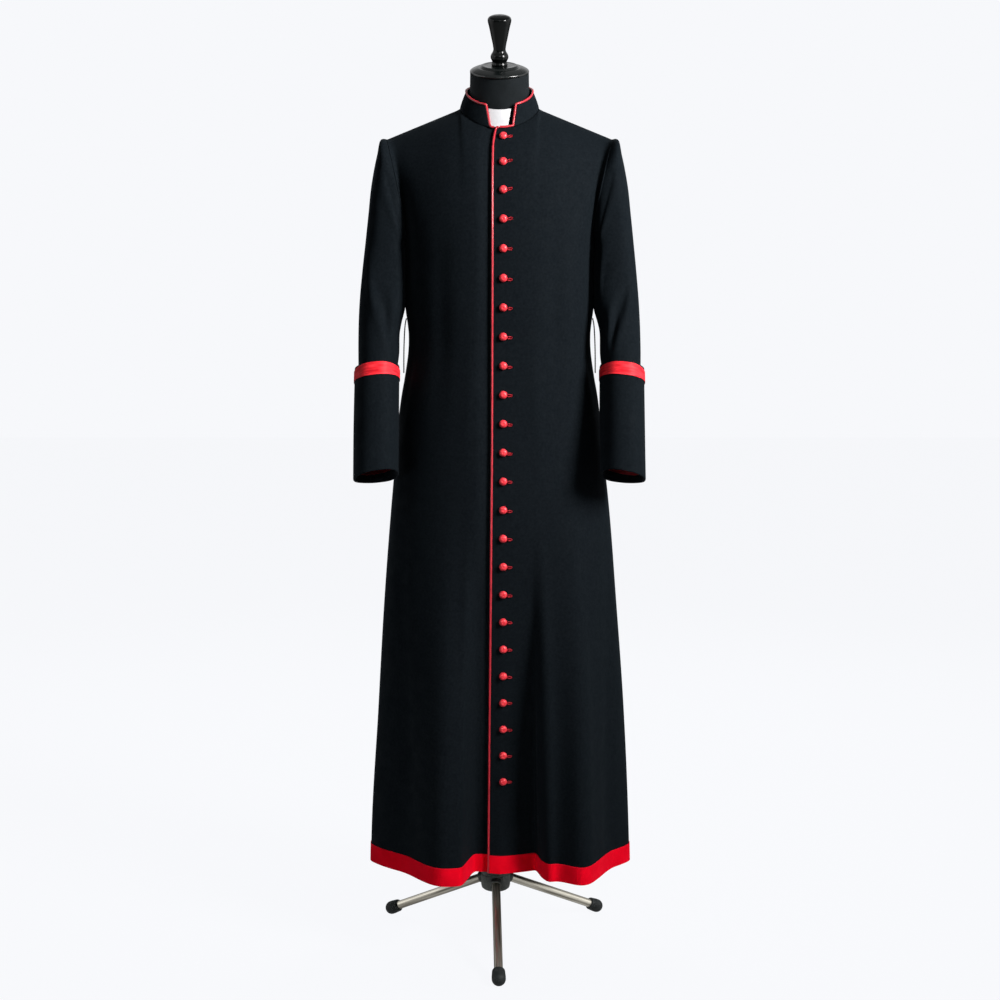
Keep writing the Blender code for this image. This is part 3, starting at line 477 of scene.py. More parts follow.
def ribbon():
    made = Surface("ribbon", (0.50, 0.002, 0.010), 0.60, Sheen_Weight=0.45, Sheen_Roughness=0.60,
                   Sheen_Tint=(1.0, 0.012, 0.060, 1.0), Specular_IOR_Level=0.02)
    made.colour(made.noise(30.0, 4.0, output="UV"), (0.66, 0.0006, 0.009), (0.80, 0.0018, 0.014))
    made.bump(made.bands(0.0014, "X"), 0.00014, 0.6)
    made.bump(made.noise(700.0, 2.0), 0.00010, 0.4)
    made.roughness(made.noise(60.0), 0.44, 0.60)
    return made.material


def covered_silk(name, low, high):
    made = Surface(name, high, 0.38, Specular_IOR_Level=0.35)
    made.colour(made.noise(260.0, 3.0), low, high)
    made.bump(made.bands(0.0009, "X"), 0.00003, 0.5)
    made.bump(made.bands(0.0009, "Y"), 0.00003, 0.5)
    made.roughness(made.noise(300.0), 0.30, 0.46)
    return made.material


def thread(name, low, high):
    made = Surface(name, high, 0.55, Specular_IOR_Level=0.20)
    made.colour(made.noise(500.0), low, high)
    made.bump(made.noise(1500.0), 0.00015, 0.6)
    return made.material


def linen():
    made = Surface("linen", (0.80, 0.80, 0.82), 0.50, Specular_IOR_Level=0.20)
    made.colour(made.noise(60.0), (0.44, 0.44, 0.455), (0.50, 0.50, 0.515))
    made.bump(made.bands(0.0007, "X"), 0.00006, 0.5)
    made.bump(made.bands(0.0007, "Y"), 0.00006, 0.5)
    return made.material


def jersey():
    made = Surface("jersey", (0.008, 0.010, 0.012), 0.70, Specular_IOR_Level=0.08, Sheen_Weight=0.02,
                   Sheen_Tint=(0.75, 0.90, 1.0, 1.0))
    made.colour(made.noise(35.0, 4.0), (0.003, 0.0045, 0.0054), (0.0053, 0.0072, 0.0086))
    made.bump(made.bands(0.0016, "X"), 0.00016, 0.6)
    made.bump(made.noise(800.0, 2.0), 0.00018, 0.5)
    return made.material


def satin_paint():
    made = Surface("satin_paint", (0.006, 0.008, 0.008), 0.34, Specular_IOR_Level=0.42)
    made.roughness(made.noise(70.0, 4.0), 0.20, 0.27)
    made.bump(made.noise(300.0), 0.00001, 0.2)
    made.colour(made.noise(20.0), (0.0014, 0.0024, 0.0024), (0.0030, 0.0042, 0.0042))
    return made.material


def lacquer():
    made = Surface("lacquer", (0.003, 0.004, 0.004), 0.16, Specular_IOR_Level=0.10, Coat_Weight=0.08,
                   Coat_Roughness=0.08)
    made.roughness(made.noise(90.0), 0.14, 0.24)
    streaks = made.noise(60.0, 4.0, stretch=(1, 1, 0.2))
    made.colour(streaks, (0.0008, 0.0012, 0.0012), (0.0020, 0.0024, 0.0024))
    made.bump(made.noise(120.0), 0.00010, 0.15)
    return made.material


def nickel():
    made = Surface("nickel", (0.40, 0.37, 0.31), 0.26, 0.90)
    # Long streaks down the tube in the base colour, from dark to cream: partly the drawn metal's own lines,
    # partly painted reflection streaks
    drawn_and_reflection_streaks = made.noise(150.0, 3.0, 0.6, "UV", (1.0, 0.02, 1.0))
    made.colour(drawn_and_reflection_streaks, (0.14, 0.125, 0.100), (0.62, 0.585, 0.50), 0.42, 0.58)
    made.roughness(made.noise(20.0, 2.0), 0.26, 0.34)
    return made.material


def casting():
    made = Surface("casting", (0.030, 0.034, 0.034), 0.50, 0.2, Specular_IOR_Level=0.25)
    made.colour(made.noise(420.0, 4.0, 0.7), (0.050, 0.056, 0.052), (0.140, 0.150, 0.140))
    made.roughness(made.noise(90.0), 0.42, 0.60)
    made.bump(made.noise(600.0), 0.00014, 0.5)
    return made.material


def rubber():
    made = Surface("rubber", (0.012, 0.014, 0.014), 0.60, Specular_IOR_Level=0.20)
    made.colour(made.noise(50.0, 4.0), (0.008, 0.010, 0.010), (0.016, 0.019, 0.019))
    made.roughness(made.noise(110.0), 0.50, 0.72)
    made.bump(made.noise(420.0), 0.00012, 0.4)
    return made.material


# ---------------------------------------------------------------- mesh helpers
def run_along(points):
    """Distance along a line from its first point to each of its points."""
    steps = np.linalg.norm(np.diff(points, axis=0), axis=1)
    return np.concatenate([[0.0], np.cumsum(steps)])


def angles_round(sides):
    return 2 * math.pi * np.arange(sides) / sides


def squared_off(value, power):
    """A sine or cosine raised to a power with its sign kept, which squares off or rounds a curve."""
    return np.sign(value) * np.abs(value) ** power


def grid_faces(rows, columns, around):
    """Quads of a grid of points, closed round its columns or open."""
    steps = columns if around else columns - 1
    row, column = np.meshgrid(np.arange(rows - 1), np.arange(steps), indexing="ij")
    a = (row * columns + column).ravel()
    b = (row * columns + (column + 1) % columns).ravel()
    return np.stack([a, b, b + columns, a + columns], 1)


def add_piece(name, points, faces, uv, finish, slot, stands_for=(), bevel=0.0, sharp=60):
    """A mesh piece in the frame, standing for CAD nodes and riding on the root body."""
    points = np.asarray(points, float) + np.array([0.0, AXIS_Y, 0.0])
    faces = np.asarray(faces)
    corners = points[faces[:, :3]]
    if np.linalg.det(corners).sum() < 0:
        faces = faces[:, ::-1]
    mesh = bpy.data.meshes.new(name)
    mesh.from_pydata(points.tolist(), [], faces.tolist())
    layer = mesh.uv_layers.new(name="cut")
    index = np.empty(len(mesh.loops), np.int32)
    mesh.loops.foreach_get("vertex_index", index)
    layer.data.foreach_set("uv", np.asarray(uv, np.float32)[index].ravel())
    mesh.shade_smooth()
    mesh.set_sharp_from_angle(angle=math.radians(sharp))
    mesh.materials.append(finish)
    made = bpy.data.objects.new(name, mesh)
    bpy.context.scene.collection.objects.link(made)
    if bevel:
        edge = made.modifiers.new("edge", "BEVEL")
        edge.width = bevel
        edge.segments = 3
        edge.limit_method = "ANGLE"
        edge.angle_limit = math.radians(55)
    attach(made, "root")
    if stands_for:
        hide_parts(*stands_for)
    return made


def declare_sheet(grid, around=False):
    """Close a sheet's outer grid when it runs round; nothing more is done with it."""
    if around:
        grid = np.concatenate([grid, grid[:, :1]], axis=1)


def grid_uv(grid):
    """Distances in metres along the rows and along the columns."""
    across = np.linalg.norm(np.diff(grid, axis=1), axis=2)
    along = np.linalg.norm(np.diff(grid, axis=0), axis=2)
    u = np.concatenate([np.zeros((len(grid), 1)), np.cumsum(across, axis=1)], axis=1)
    v = np.concatenate([np.zeros((1, grid.shape[1])), np.cumsum(along, axis=0)], axis=0)
    return np.stack([u.mean(axis=0, keepdims=True).repeat(len(grid), 0), v], axis=2)


def wall(outer, inner, around=False):
    """Points, faces and UVs of a closed wall between two grids, wound one way all over."""
    rows, columns = outer.shape[:2]
    count = rows * columns
    quads = grid_faces(rows, columns, around)
    faces = [quads, quads[:, [0, 3, 2, 1]] + count]
    a = np.arange(columns if around else columns - 1)
    b = (a + 1) % columns
    faces.append(np.stack([b, a, a + count, b + count], 1))
    last = (rows - 1) * columns
    faces.append(np.stack([a, b, b + count, a + count], 1) + last)
    if not around:
        a = np.arange(rows - 1) * columns
        faces.append(np.stack([a, a + columns, a + columns + count, a + count], 1))
        b = a + columns - 1
        faces.append(np.stack([b + columns, b, b + count, b + columns + count], 1))
    points = np.concatenate([outer.reshape(-1, 3), inner.reshape(-1, 3)])
    uv = grid_uv(outer).reshape(-1, 2)
    return points, np.concatenate(faces), np.concatenate([uv, uv])


def normals(grid, around=False):
    if around:
        along = np.roll(grid, -1, axis=1) - np.roll(grid, 1, axis=1)
    else:
        along = np.gradient(grid, axis=1)
    cross = np.cross(along, np.gradient(grid, axis=0))
    return cross / np.linalg.norm(cross, axis=2, keepdims=True)


def rings_piece(rings):
    """Points, faces and UVs of a surface through closed rings, its small ends closed by quads' fans."""
    grid = np.asarray(rings)
    rows, sides = grid.shape[:2]
    faces = [grid_faces(rows, sides, True)]
    points = grid.reshape(-1, 3)
    for ring, flip in ((0, True), (rows - 1, False)):
        start = ring * sides
        for step in range(1, sides // 2):
            quad = [start + step - 1, start + step, start + sides - step - 1, start + sides - step]
            if step == 1:
                quad = [start, start + 1, start + sides - 2, start + sides - 1]
            faces.append(np.array([quad[::-1] if flip else quad]))
    return points, np.concatenate(faces), grid_uv(grid).reshape(-1, 2)


def curve_through(points, count):
    """A smooth line through points, evenly divided."""
    points = np.asarray(points, float)
    keys = run_along(points)
    at = np.linspace(0.0, keys[-1], count)
    return np.column_stack([hermite(keys, points[:, axis], at) for axis in range(points.shape[1])])


def hermite(keys, values, at):
    """Values read along one smooth curve through the rows of a table."""
    keys = np.asarray(keys, float)
    values = np.asarray(values, float)
    slopes = np.gradient(values, keys)
    low = np.clip(np.searchsorted(keys, at) - 1, 0, len(keys) - 2)
    span = keys[low + 1] - keys[low]
    t = (at - keys[low]) / span
    start = (2 * t**3 - 3 * t**2 + 1) * values[low] + (t**3 - 2 * t**2 + t) * span * slopes[low]
    end = (3 * t**2 - 2 * t**3) * values[low + 1] + (t**3 - t**2) * span * slopes[low + 1]
    return start + end


def tube(path, radius, sides=14):
    """Points, faces and UVs of a round tube along a path. The radius may vary along it."""
    path = np.asarray(path, float)
    along = np.gradient(path, axis=0)
    along /= np.linalg.norm(along, axis=1, keepdims=True)
    radii = np.broadcast_to(np.asarray(radius, float), (len(path),))
    angles = angles_round(sides)
    side = np.cross(along[0], (0.3, 0.2, 0.9))
    rings = []
    for centre, direction, size in zip(path, along, radii):
        side = side - direction * side.dot(direction)
        side /= np.linalg.norm(side)
        other = np.cross(direction, side)
        rings.append(centre + size * (np.outer(np.cos(angles), side) + np.outer(np.sin(angles), other)))
    return rings_piece(rings)


def turned(profile, sides=96, count=None):
    """Rings of a turned shape about Z, its profile smoothed when a count of rings is given."""
    if count:
        profile = curve_through(profile, count)
    angles = angles_round(sides)
    circle = np.stack([np.cos(angles), np.sin(angles)], axis=1)
    return [np.column_stack([radius * circle, np.full(sides, height)]) for radius, height in profile]


def placed(points, direction, origin):
    turn = Vector((0, 0, 1)).rotation_difference(Vector(direction)).to_matrix()
    return np.asarray(points) @ np.array(turn).T + np.asarray(origin)


def joined(parts):
    """Several bodies of points, faces and UVs as one."""
    points, faces, uvs = [], [], []
    start = 0
    for part_points, part_faces, part_uv in parts:
        points.append(part_points)
        faces.append(np.asarray(part_faces) + start)
        uvs.append(part_uv)
        start += len(part_points)
    return np.concatenate(points), np.concatenate(faces), np.concatenate(uvs)


# ---------------------------------------------------------------- the garment's surface
def fade(value):
    value = np.clip(value, 0.0, 1.0)
    return value * value * (3 - 2 * value)


def section_value(column, z):
    return float(hermite([row.z for row in SECTIONS], [getattr(row, column) for row in SECTIONS], z))


def spread(points):
    """Each point's place along a line, from -1 at its start to 1 at its end."""
    length = run_along(points)
    return 2 * length / length[-1] - 1


def low_curve(z, side):
    """Front (side -1) or back (side 1) half of a section below the chest, from -X to +X."""
    half = section_value("half", z)
    depth = section_value("front" if side < 0 else "back", z)
    power = 2 / section_value("front_round" if side < 0 else "back_round", z)
    angle = np.linspace(-math.pi / 2, math.pi / 2, SPAN_POINTS)
    share = squared_off(np.sin(angle), power)
    out = depth * np.abs(np.cos(angle)) ** power
    for fold in FRONT_FOLDS if side < 0 else BACK_FOLDS:
        grown = fade((fold.top - z) / (fold.top - HEM_Z))
        out += fold.depth * grown * (1 - fade((np.abs(share - fold.place) - fold.flat) / fold.fade))
    out = np.maximum(out, GAP / 2)
    x = half * share + section_value("shift", z)
    return np.column_stack([x, side * out, np.full(SPAN_POINTS, z)])


def loop_round(angle, half, front, back, side_z, drop, rise, drop_power):
    """Points of the neckline or of the collar's top, by the angle from centre front."""
    forward = np.maximum(np.cos(angle), 0.0)
    rearward = np.maximum(-np.cos(angle), 0.0)
    z = side_z - drop * forward**drop_power + rise * rearward
    return np.stack([half * np.sin(angle), back * rearward - front * forward, z], axis=-1)


def neckline(angle):
    return loop_round(angle, NECKLINE_HALF, NECKLINE_FRONT, NECKLINE_BACK, NECKLINE_SIDE_Z,
                      NECKLINE_FRONT_DROP, NECKLINE_BACK_RISE, 1.35)


def collar_top(angle):
    return loop_round(angle, COLLAR_TOP_HALF, COLLAR_TOP_FRONT, COLLAR_TOP_BACK, COLLAR_TOP_Z,
                      COLLAR_FRONT_DROP, COLLAR_BACK_RISE, 1.0)


def armhole(angle):
    """Armhole of the wearer's left side, by the angle from the shoulder towards the front."""
    rise = (1 + np.cos(angle)) / 2
    x = UNDERARM_X + (SHOULDER_X - UNDERARM_X) * rise**ARMHOLE_CURVE
    z = UNDERARM_Z + (SHOULDER_Z - UNDERARM_Z) * rise
    return np.stack([x, -ARMHOLE_HALF_DEPTH * np.sin(angle), z], axis=-1)


def top_points(places, side):
    """Where columns at these places end: on the neckline, the shoulder seam or the armhole."""
    reach = np.abs(places)
    seam = np.array([0.0, side * GAP / 2, 0.0])
    angle = math.pi / 2 * np.clip(reach / NECK_SHARE, 0, 1)
    neck = neckline(angle if side < 0 else math.pi - angle)
    share = np.clip((reach - NECK_SHARE) / (SHOULDER_SHARE - NECK_SHARE), 0, 1)[:, None]
    shoulder = (1 - share) * neckline(np.array(math.pi / 2)) + share * armhole(np.array(0.0)) + seam
    angle = math.pi * np.clip((reach - SHOULDER_SHARE) / (1 - SHOULDER_SHARE), 0, 1) ** ARMHOLE_PACE
    arm = armhole(-side * angle) + seam - np.array([ARMHOLE_GAP / 2, 0.0, 0.0])
    on_neck = (reach < NECK_SHARE)[:, None]
    on_seam = (reach < SHOULDER_SHARE)[:, None]
    points = np.where(on_neck, neck, np.where(on_seam, shoulder, arm))
    points[:, 0] = np.copysign(points[:, 0], places)
    return points


def high_curve(share, side):
    """Half section above the chest: each column is an arc that leaves the chest upright."""
    chest = low_curve(CHEST_Z, side)
    places = spread(chest)
    top = top_points(places, side)
    upright = hermite(PULL_PLACES, PULL_UPRIGHT, np.abs(places))
    depth = np.full(SPAN_POINTS, 0.0 if side < 0 else PULL_BACK)
    pull = np.column_stack([np.full(SPAN_POINTS, PULL_ACROSS), depth, upright])
    middle = chest + pull * (top - chest)
    return (1 - share) ** 2 * chest + 2 * share * (1 - share) * middle + share**2 * top


def garment_row(level, side):
    """A row of the surface. Levels up to 1 are heights from hem to chest, and from 1 to 2 above it."""
    if level <= 1:
        points = low_curve(HEM_Z + level * (CHEST_Z - HEM_Z), side)
        return points, spread(points)
    return high_curve(level - 1, side), spread(low_curve(CHEST_Z, side))


def at_places(points, places, wanted):
    return np.column_stack([np.interp(wanted, places, points[:, axis]) for axis in range(3)])


def place_of_x(points, places, x):
    return float(np.interp(x, points[:, 0], places))


def edge_x(z):
    return np.interp(z, EDGE_Z, EDGE_X)


def fine_levels():
    low = np.linspace(0.0, 1.0, SKIRT_ROWS + 1)
    return np.concatenate([low, 1 + np.linspace(0.0, 1.0, CHEST_ROWS + 1)[1:]])


def half_columns(inner):
    """Column places of a half panel, from an inner place out to the side seam."""
    neck = np.linspace(inner, NECK_SHARE, NECK_COLUMNS + 1)
    seam = np.linspace(NECK_SHARE, SHOULDER_SHARE, SEAM_COLUMNS + 1)
    even = np.linspace(0, 1, ARMHOLE_COLUMNS + 1) ** (1 / ARMHOLE_PACE)
    arm = SHOULDER_SHARE + (1 - SHOULDER_SHARE) * even
    return np.concatenate([neck, seam[1:], arm[1:]])


def underlap(points):
    """Set the under front back where the overlapping front covers it."""
    beyond = edge_x(points[:, 2]) - UNDERLAP_BEYOND - points[:, 0]
    points[:, 1] += UNDERLAP_INSET * (1 - fade(beyond / UNDERLAP_FADE))
    return points


def panel_grid(name, levels):
    """Outer points of a front or of the back, a row for each level, and each point's place."""
    side = 1 if name == "back" else -1
    rows = []
    row_places = []
    for level in levels:
        points, places = garment_row(level, side)
        if name == "back":
            half = half_columns(0.0)
            wanted = np.concatenate([-half[:0:-1], half])
            rows.append(at_places(points, places, wanted))
        elif name == "front_left":
            z = at_places(points, places, [0.0])[0, 2]
            wanted = half_columns(place_of_x(points, places, edge_x(z)))
            rows.append(at_places(points, places, wanted))
        else:
            wanted = -half_columns(-place_of_x(points, places, UNDERLAP_X))[::-1]
            rows.append(underlap(at_places(points, places, wanted)))
        row_places.append(wanted)
    return np.array(rows), np.array(row_places)


def relaxed(grid, give, passes):
    """Stretch a grid taut between its fixed borders, each point as freely as it gives."""
    grid = grid.copy()
    for _ in range(passes):
        beside = (grid[1:-1, :-2] + grid[1:-1, 2:] + grid[:-2, 1:-1] + grid[2:, 1:-1]) / 4
        grid[1:-1, 1:-1] += 0.5 * give[1:-1, 1:-1, None] * (beside - grid[1:-1, 1:-1])
    return grid


def crease_bump(crease, off, z):
    """Relief of one crease, deepest on its line at its middle height and gone at its ends."""
    reach = np.clip(1 - np.abs(z - crease.z) / crease.length, 0, 1)
    return crease.depth * fade(reach) * np.exp(-((off / crease.width) ** 2))


def crease_relief(places, z, creases):
    relief = np.zeros_like(z)
    for crease in creases:
        off = places - crease.place - crease.lean * (z - crease.z)
        relief += crease_bump(crease, off, z)
    return relief


def contact_push(z, table=CONTACTS):
    return np.interp(z, [row.z for row in table], [row.push for row in table])


def facing_out(name, grid):
    return normals(grid) * (-1.0 if name == "back" else 1.0)


def dressed_grid(name, levels):
    """The panel's surface with its creases, contact leans, slow roll and seams."""
    grid, places = panel_grid(name, levels)
    # The cloth is taut from the shoulder's tip down beside the armhole
    height = (np.arange(len(grid)) - SKIRT_ROWS)[:, None] / CHEST_ROWS
    give = fade((np.abs(places) - 0.32) / 0.20) * fade((height - 0.10) / 0.40)
    grid = relaxed(grid, give, 160)
    z = grid[:, :, 2]
    creases = BACK_CREASES if name == "back" else FRONT_CREASES
    relief = crease_relief(places, z, creases)
    lean = contact_push(z) + contact_push(z, HIP_CONTACTS)
    relief += lean * np.exp(-(((1 - np.abs(places)) / 0.10) ** 2))
    # A slow uneven roll of the whole cloth
    roll = np.sin(places * 11.0 + 1.7 * np.sin(z * 3.1)) * np.sin(z * 5.3 + places * 2.0)
    relief += 0.0009 * roll * fade((1.25 - z) / 0.5)
    # Seam grooves at the side seams and along the shoulders
    edge = np.minimum(1 - np.abs(places), 1.0) / 0.03
    relief -= 0.0010 * (1 - fade(edge)) * fade((1.33 - z) / 0.05)
    rows_left = (len(grid) - 1 - np.arange(len(grid)))[:, None] / 3.0
    on_seam = (np.abs(places) > NECK_SHARE) & (np.abs(places) < 0.97)
    relief -= 0.0008 * (1 - fade(rows_left)) * on_seam
    border = fade(rows_left / 1.5)
    return grid + facing_out(name, grid) * (relief * np.where(on_seam, 1.0, border))[:, :, None]


def front_column(x, levels):
    """Points up the front surface at one distance from centre front."""
    column = []
    for level in levels:
        points, places = garment_row(level, -1)
        column.append(at_places(points, places, [place_of_x(points, places, x)])[0])
    return np.array(column)


# ---------------------------------------------------------------- garment pieces
def make_panel(name, finish, ribbon_finish):
    levels = fine_levels()
    grid = dressed_grid(name, levels)
    inner = grid - CLOTH * facing_out(name, grid)
    piece = add_piece("cloth_" + name, *wall(grid, inner), finish, "black_wool", (name,), 0.0007)
    declare_sheet(grid)

    rows = int(np.searchsorted(HEM_Z + levels * (CHEST_Z - HEM_Z), HEM_Z + HEM_BAND))
    band = grid[: rows + 1]
    facing = facing_out(name, grid)[: rows + 1]
    outer = band + (GAP + BAND_THICKNESS) * facing
    node = "hem_band_" + name
    trim = add_piece("ribbon_" + node, *wall(outer, band + GAP * facing), ribbon_finish,
                     "crimson_ribbon", (node,), 0.0004)
    stitches = make_sewing("hem_stitches_" + name, outer[-1] - np.array([0.0, 0.0, 0.0012]), 0.0040,
                           0.00024, STITCH_RED, "crimson_ribbon")
    declare_sheet(outer)


def ring_points(rings, angles, rounding=ARM_ROUNDING):
    """Points of sleeve or cuff rings given as rows of numbers, from the outer point towards the front."""
    rings = np.asarray(rings, float)
    upper = fade((rings[:, 1] - 1.16) / 0.12)[:, None]
    inner_side = fade(-1.6 * np.cos(angles))[None, :]
    power = 2 / (rounding + upper * (UPPER_FLATNESS + INNER_FLATNESS * inner_side))
    along = squared_off(np.cos(angles), power)
    across = squared_off(np.sin(angles), power)
    outer = rings[:, [0, 4, 1]]
    inner = rings[:, [2, 4, 3]]
    centre = (outer + inner) / 2
    pitch = np.radians(rings[:, 6])
    forward = np.stack([np.zeros(len(rings)), -np.cos(pitch), np.sin(pitch)], 1) * rings[:, 5:6]
    spoke = (outer - centre)[:, None] * along[:, :, None]
    return centre[:, None] + spoke + forward[:, None] * across[:, :, None]


def arm_relief(grid, angles, creases):
    degrees = np.degrees(angles)[None, :]
    z = grid[:, :, 2]
    relief = np.zeros_like(z)
    for crease in creases:
        off = degrees - crease.angle - crease.lean * (z - crease.z)
        off = (off + 180) % 360 - 180
        relief += crease_bump(crease, off, z)
    return relief


def inwards(grid):
    facing = normals(grid, around=True)
    middle = grid.mean(axis=1, keepdims=True) - grid
    return facing * np.sign(np.sum(facing * middle, axis=2, keepdims=True))


def rings_between(rings, shares):
    """Rows of numbers read smoothly along a table of rings, shares going from 0 to 1."""
    rings = np.array(rings, float)
    centres = (rings[:, [0, 4, 1]] + rings[:, [2, 4, 3]]) / 2
    keys = run_along(centres)
    at = np.asarray(shares) * keys[-1]
    return np.column_stack([hermite(keys, rings[:, column], at) for column in range(rings.shape[1])])


def mirrored(grid, hand):
    return np.asarray(grid) * np.array([hand, 1.0, 1.0])


def band_fall_line(band):
    """The way up the cuff at each point of the band's rows."""
    up = band[:1] - band[-1:]
    return up / np.linalg.norm(up, axis=2, keepdims=True)


def add_round_wall(name, outer, inner, hand, finish, slot, node, bevel=0.0):
    """The wall of a tube round the left arm, mirrored when the hand is -1."""
    points, faces, uv = wall(outer, inner, around=True)
    return add_piece(name, mirrored(points, hand), faces, uv, finish, slot, (node,), bevel)


def make_sleeve(suffix, hand, creases, cloth, angles):
    seam = armhole(angles) + np.array([ARMHOLE_GAP / 2, 0.0, 0.0])
    keyed = np.concatenate([seam[None], ring_points(SLEEVE_RINGS, angles)])
    keys = run_along(keyed.mean(axis=1))
    at = np.linspace(0.0, 1.0, SLEEVE_ROWS + 1) ** 1.15 * keys[-1]
    flat = keyed.reshape(len(keys), -1)
    sleeve = np.stack([hermite(keys, flat[:, index], at) for index in range(flat.shape[1])], 1)
    sleeve = sleeve.reshape(len(at), SLEEVE_SIDES, 3)
    inward = inwards(sleeve)
    calm = fade(at / 0.05)[:, None] * fade((keys[-1] - 0.19 - at) / 0.05)[:, None]
    relief = arm_relief(sleeve, angles, creases) * calm
    relief += contact_push(sleeve[:, :, 2]) * np.exp(-(((np.degrees(angles) - 180) / 40) ** 2))
    # The armhole seam sinks, and the sleeve head stands a little proud of it
    relief += 0.0010 * np.exp(-(((at - 0.010) / 0.006) ** 2))[:, None]
    relief -= 0.0014 * np.exp(-((at / 0.0022) ** 2))[:, None]
    sleeve = sleeve - inward * relief[:, :, None]
    piece = add_round_wall("cloth_sleeve_" + suffix, sleeve, sleeve + CLOTH * inward, hand, cloth,
                           "black_wool", "sleeve_" + suffix, 0.0005)
    declare_sheet(sleeve, around=True)


def make_cuff(suffix, hand, cloth, angles):
    cuff = ring_points(rings_between(CUFF_RINGS, np.linspace(0.0, 1.0, CUFF_ROWS + 1)), angles)
    share = np.linspace(0.0, 1.0, CUFF_ROWS + 1)[:, None] ** 3
    cuff[:, :, 2] += share * (0.0045 * np.cos(angles) * np.maximum(0.0, -np.sin(angles)))[None, :]
    inward = inwards(cuff)
    # Slight hollows where the turned-back cloth stands off the sleeve
    wave = 0.0007 * np.sin(3 * angles + 0.8 * hand)[None, :] * np.sin(np.linspace(0, 3, len(cuff)))[:, None]
    cuff = cuff + inward * wave[:, :, None]
    # The lower edge rolls inwards and runs back up inside
    down = cuff[-1] - cuff[-2]
    down /= np.linalg.norm(down, axis=1, keepdims=True)
    turns = np.linspace(0.0, math.pi, 9)[1:]
    rolled = []
    for turn in turns:
        rolled.append(cuff[-1] + CUFF_ROLL * (math.sin(turn) * down + (1 - math.cos(turn)) * inward[-1]))
    rolled.append(rolled[-1] - CUFF_TURN_UP * down)
    outer = np.concatenate([cuff, np.array(rolled)])
    outer[:, :, 2] = np.maximum(outer[:, :, 2], cuff[-1, :, 2] - CUFF_ROLL)
    lift = inwards(cuff)[-1]
    centre = cuff[-1] + CUFF_ROLL * lift
    inner_rows = list(cuff + CUFF_WALL * inward)
    for row in rolled[:-1]:
        inner_rows.append(row + CUFF_WALL * (centre - row) / CUFF_ROLL)
    inner_rows.append(rolled[-1] - CUFF_WALL * lift)
    piece = add_round_wall("cloth_cuff_" + suffix, outer, np.array(inner_rows), hand, cloth,
                           "black_wool", "cuff_" + suffix)
    declare_sheet(outer, around=True)


def make_cuff_band(suffix, hand, red, angles):
    """The band, laid on by hand: it is deepest at the front and back of the arm."""
    shares = np.linspace(0.0, CUFF_BAND_SHARE, 17)
    band = ring_points(rings_between(CUFF_RINGS, shares), angles)
    narrow = BAND_NARROWING * np.abs(np.cos(angles)) ** 2.5
    fall = (1 - shares / CUFF_BAND_SHARE)[:, None] * narrow[None, :]
    band = band - fall[:, :, None] * band_fall_line(band)
    outward = -inwards(band)
    piece = add_round_wall("moire_cuff_band_" + suffix, band + (GAP + BAND_THICKNESS) * outward,
                           band + GAP * outward, hand, red, "red_moire", "cuff_band_" + suffix, 0.0004)
    stitches = make_sewing("band_stitches_" + suffix, mirrored(band[-1] + 0.0011 * outward[-1], hand),
                           0.0034, 0.00022, STITCH_RED, "red_silk", closed=True)
    declare_sheet(band, around=True)


def make_sleeve_lining(suffix, hand, lining, angles):
    wrist, above = SLEEVE_RINGS[-1], SLEEVE_RINGS[-2]
    inside = ring_points(rings_between((wrist, above), np.linspace(*LINING_SHARES, 16)), angles)
    inward = inwards(inside)
    near = inside + (CLOTH + 2 * GAP) * inward
    piece = add_round_wall("silk_sleeve_lining_" + suffix, near, near + BAND_THICKNESS * inward, hand,
                           lining, "red_silk", "sleeve_lining_" + suffix)
    declare_sheet(near, around=True)


def make_arm(suffix, hand, creases, cloth, red, lining):
    angles = angles_round(SLEEVE_SIDES)
    make_sleeve(suffix, hand, creases, cloth, angles)
    make_cuff(suffix, hand, cloth, angles)
    make_cuff_band(suffix, hand, red, angles)
    make_sleeve_lining(suffix, hand, lining, angles)


def make_sewing(name, line, pitch, radius, finish, slot, closed=False):
    """A row of short hand stitches along a line, as one joined mesh."""
    line = np.asarray(line)
    if closed:
        line = np.concatenate([line, line[:1]])
    keys = run_along(line)
    count = int(keys[-1] / pitch)
    parts = []
    for number in range(count):
        at = (number + 0.5 + 0.08 * math.sin(7.3 * number)) * pitch
        ends = [at - 0.30 * pitch, at, at + 0.30 * pitch]
        path = np.column_stack([np.interp(ends, keys, line[:, axis]) for axis in range(3)])
        parts.append(tube(path, (0.5 * radius, radius, 0.5 * radius), 6))
    return add_piece(name, *joined(parts), finish, slot)


def collar_half(share):
    return (1 - share) * NECKLINE_HALF + share * COLLAR_TOP_HALF


def collar_angles(x_right, x_left, share):
    half = collar_half(share)
    return math.asin(x_left / half), 2 * math.pi + math.asin(x_right / half)


def collar_point(angle, share, inset=0.0):
    base = neckline(np.asarray(angle)) + np.array([0.0, 0.0, 2 * GAP])
    point = (1 - share) * base + share * collar_top(np.asarray(angle))
    radial = np.stack([np.sin(angle), -np.cos(angle), np.zeros_like(angle)], axis=-1)
    return point - inset * radial


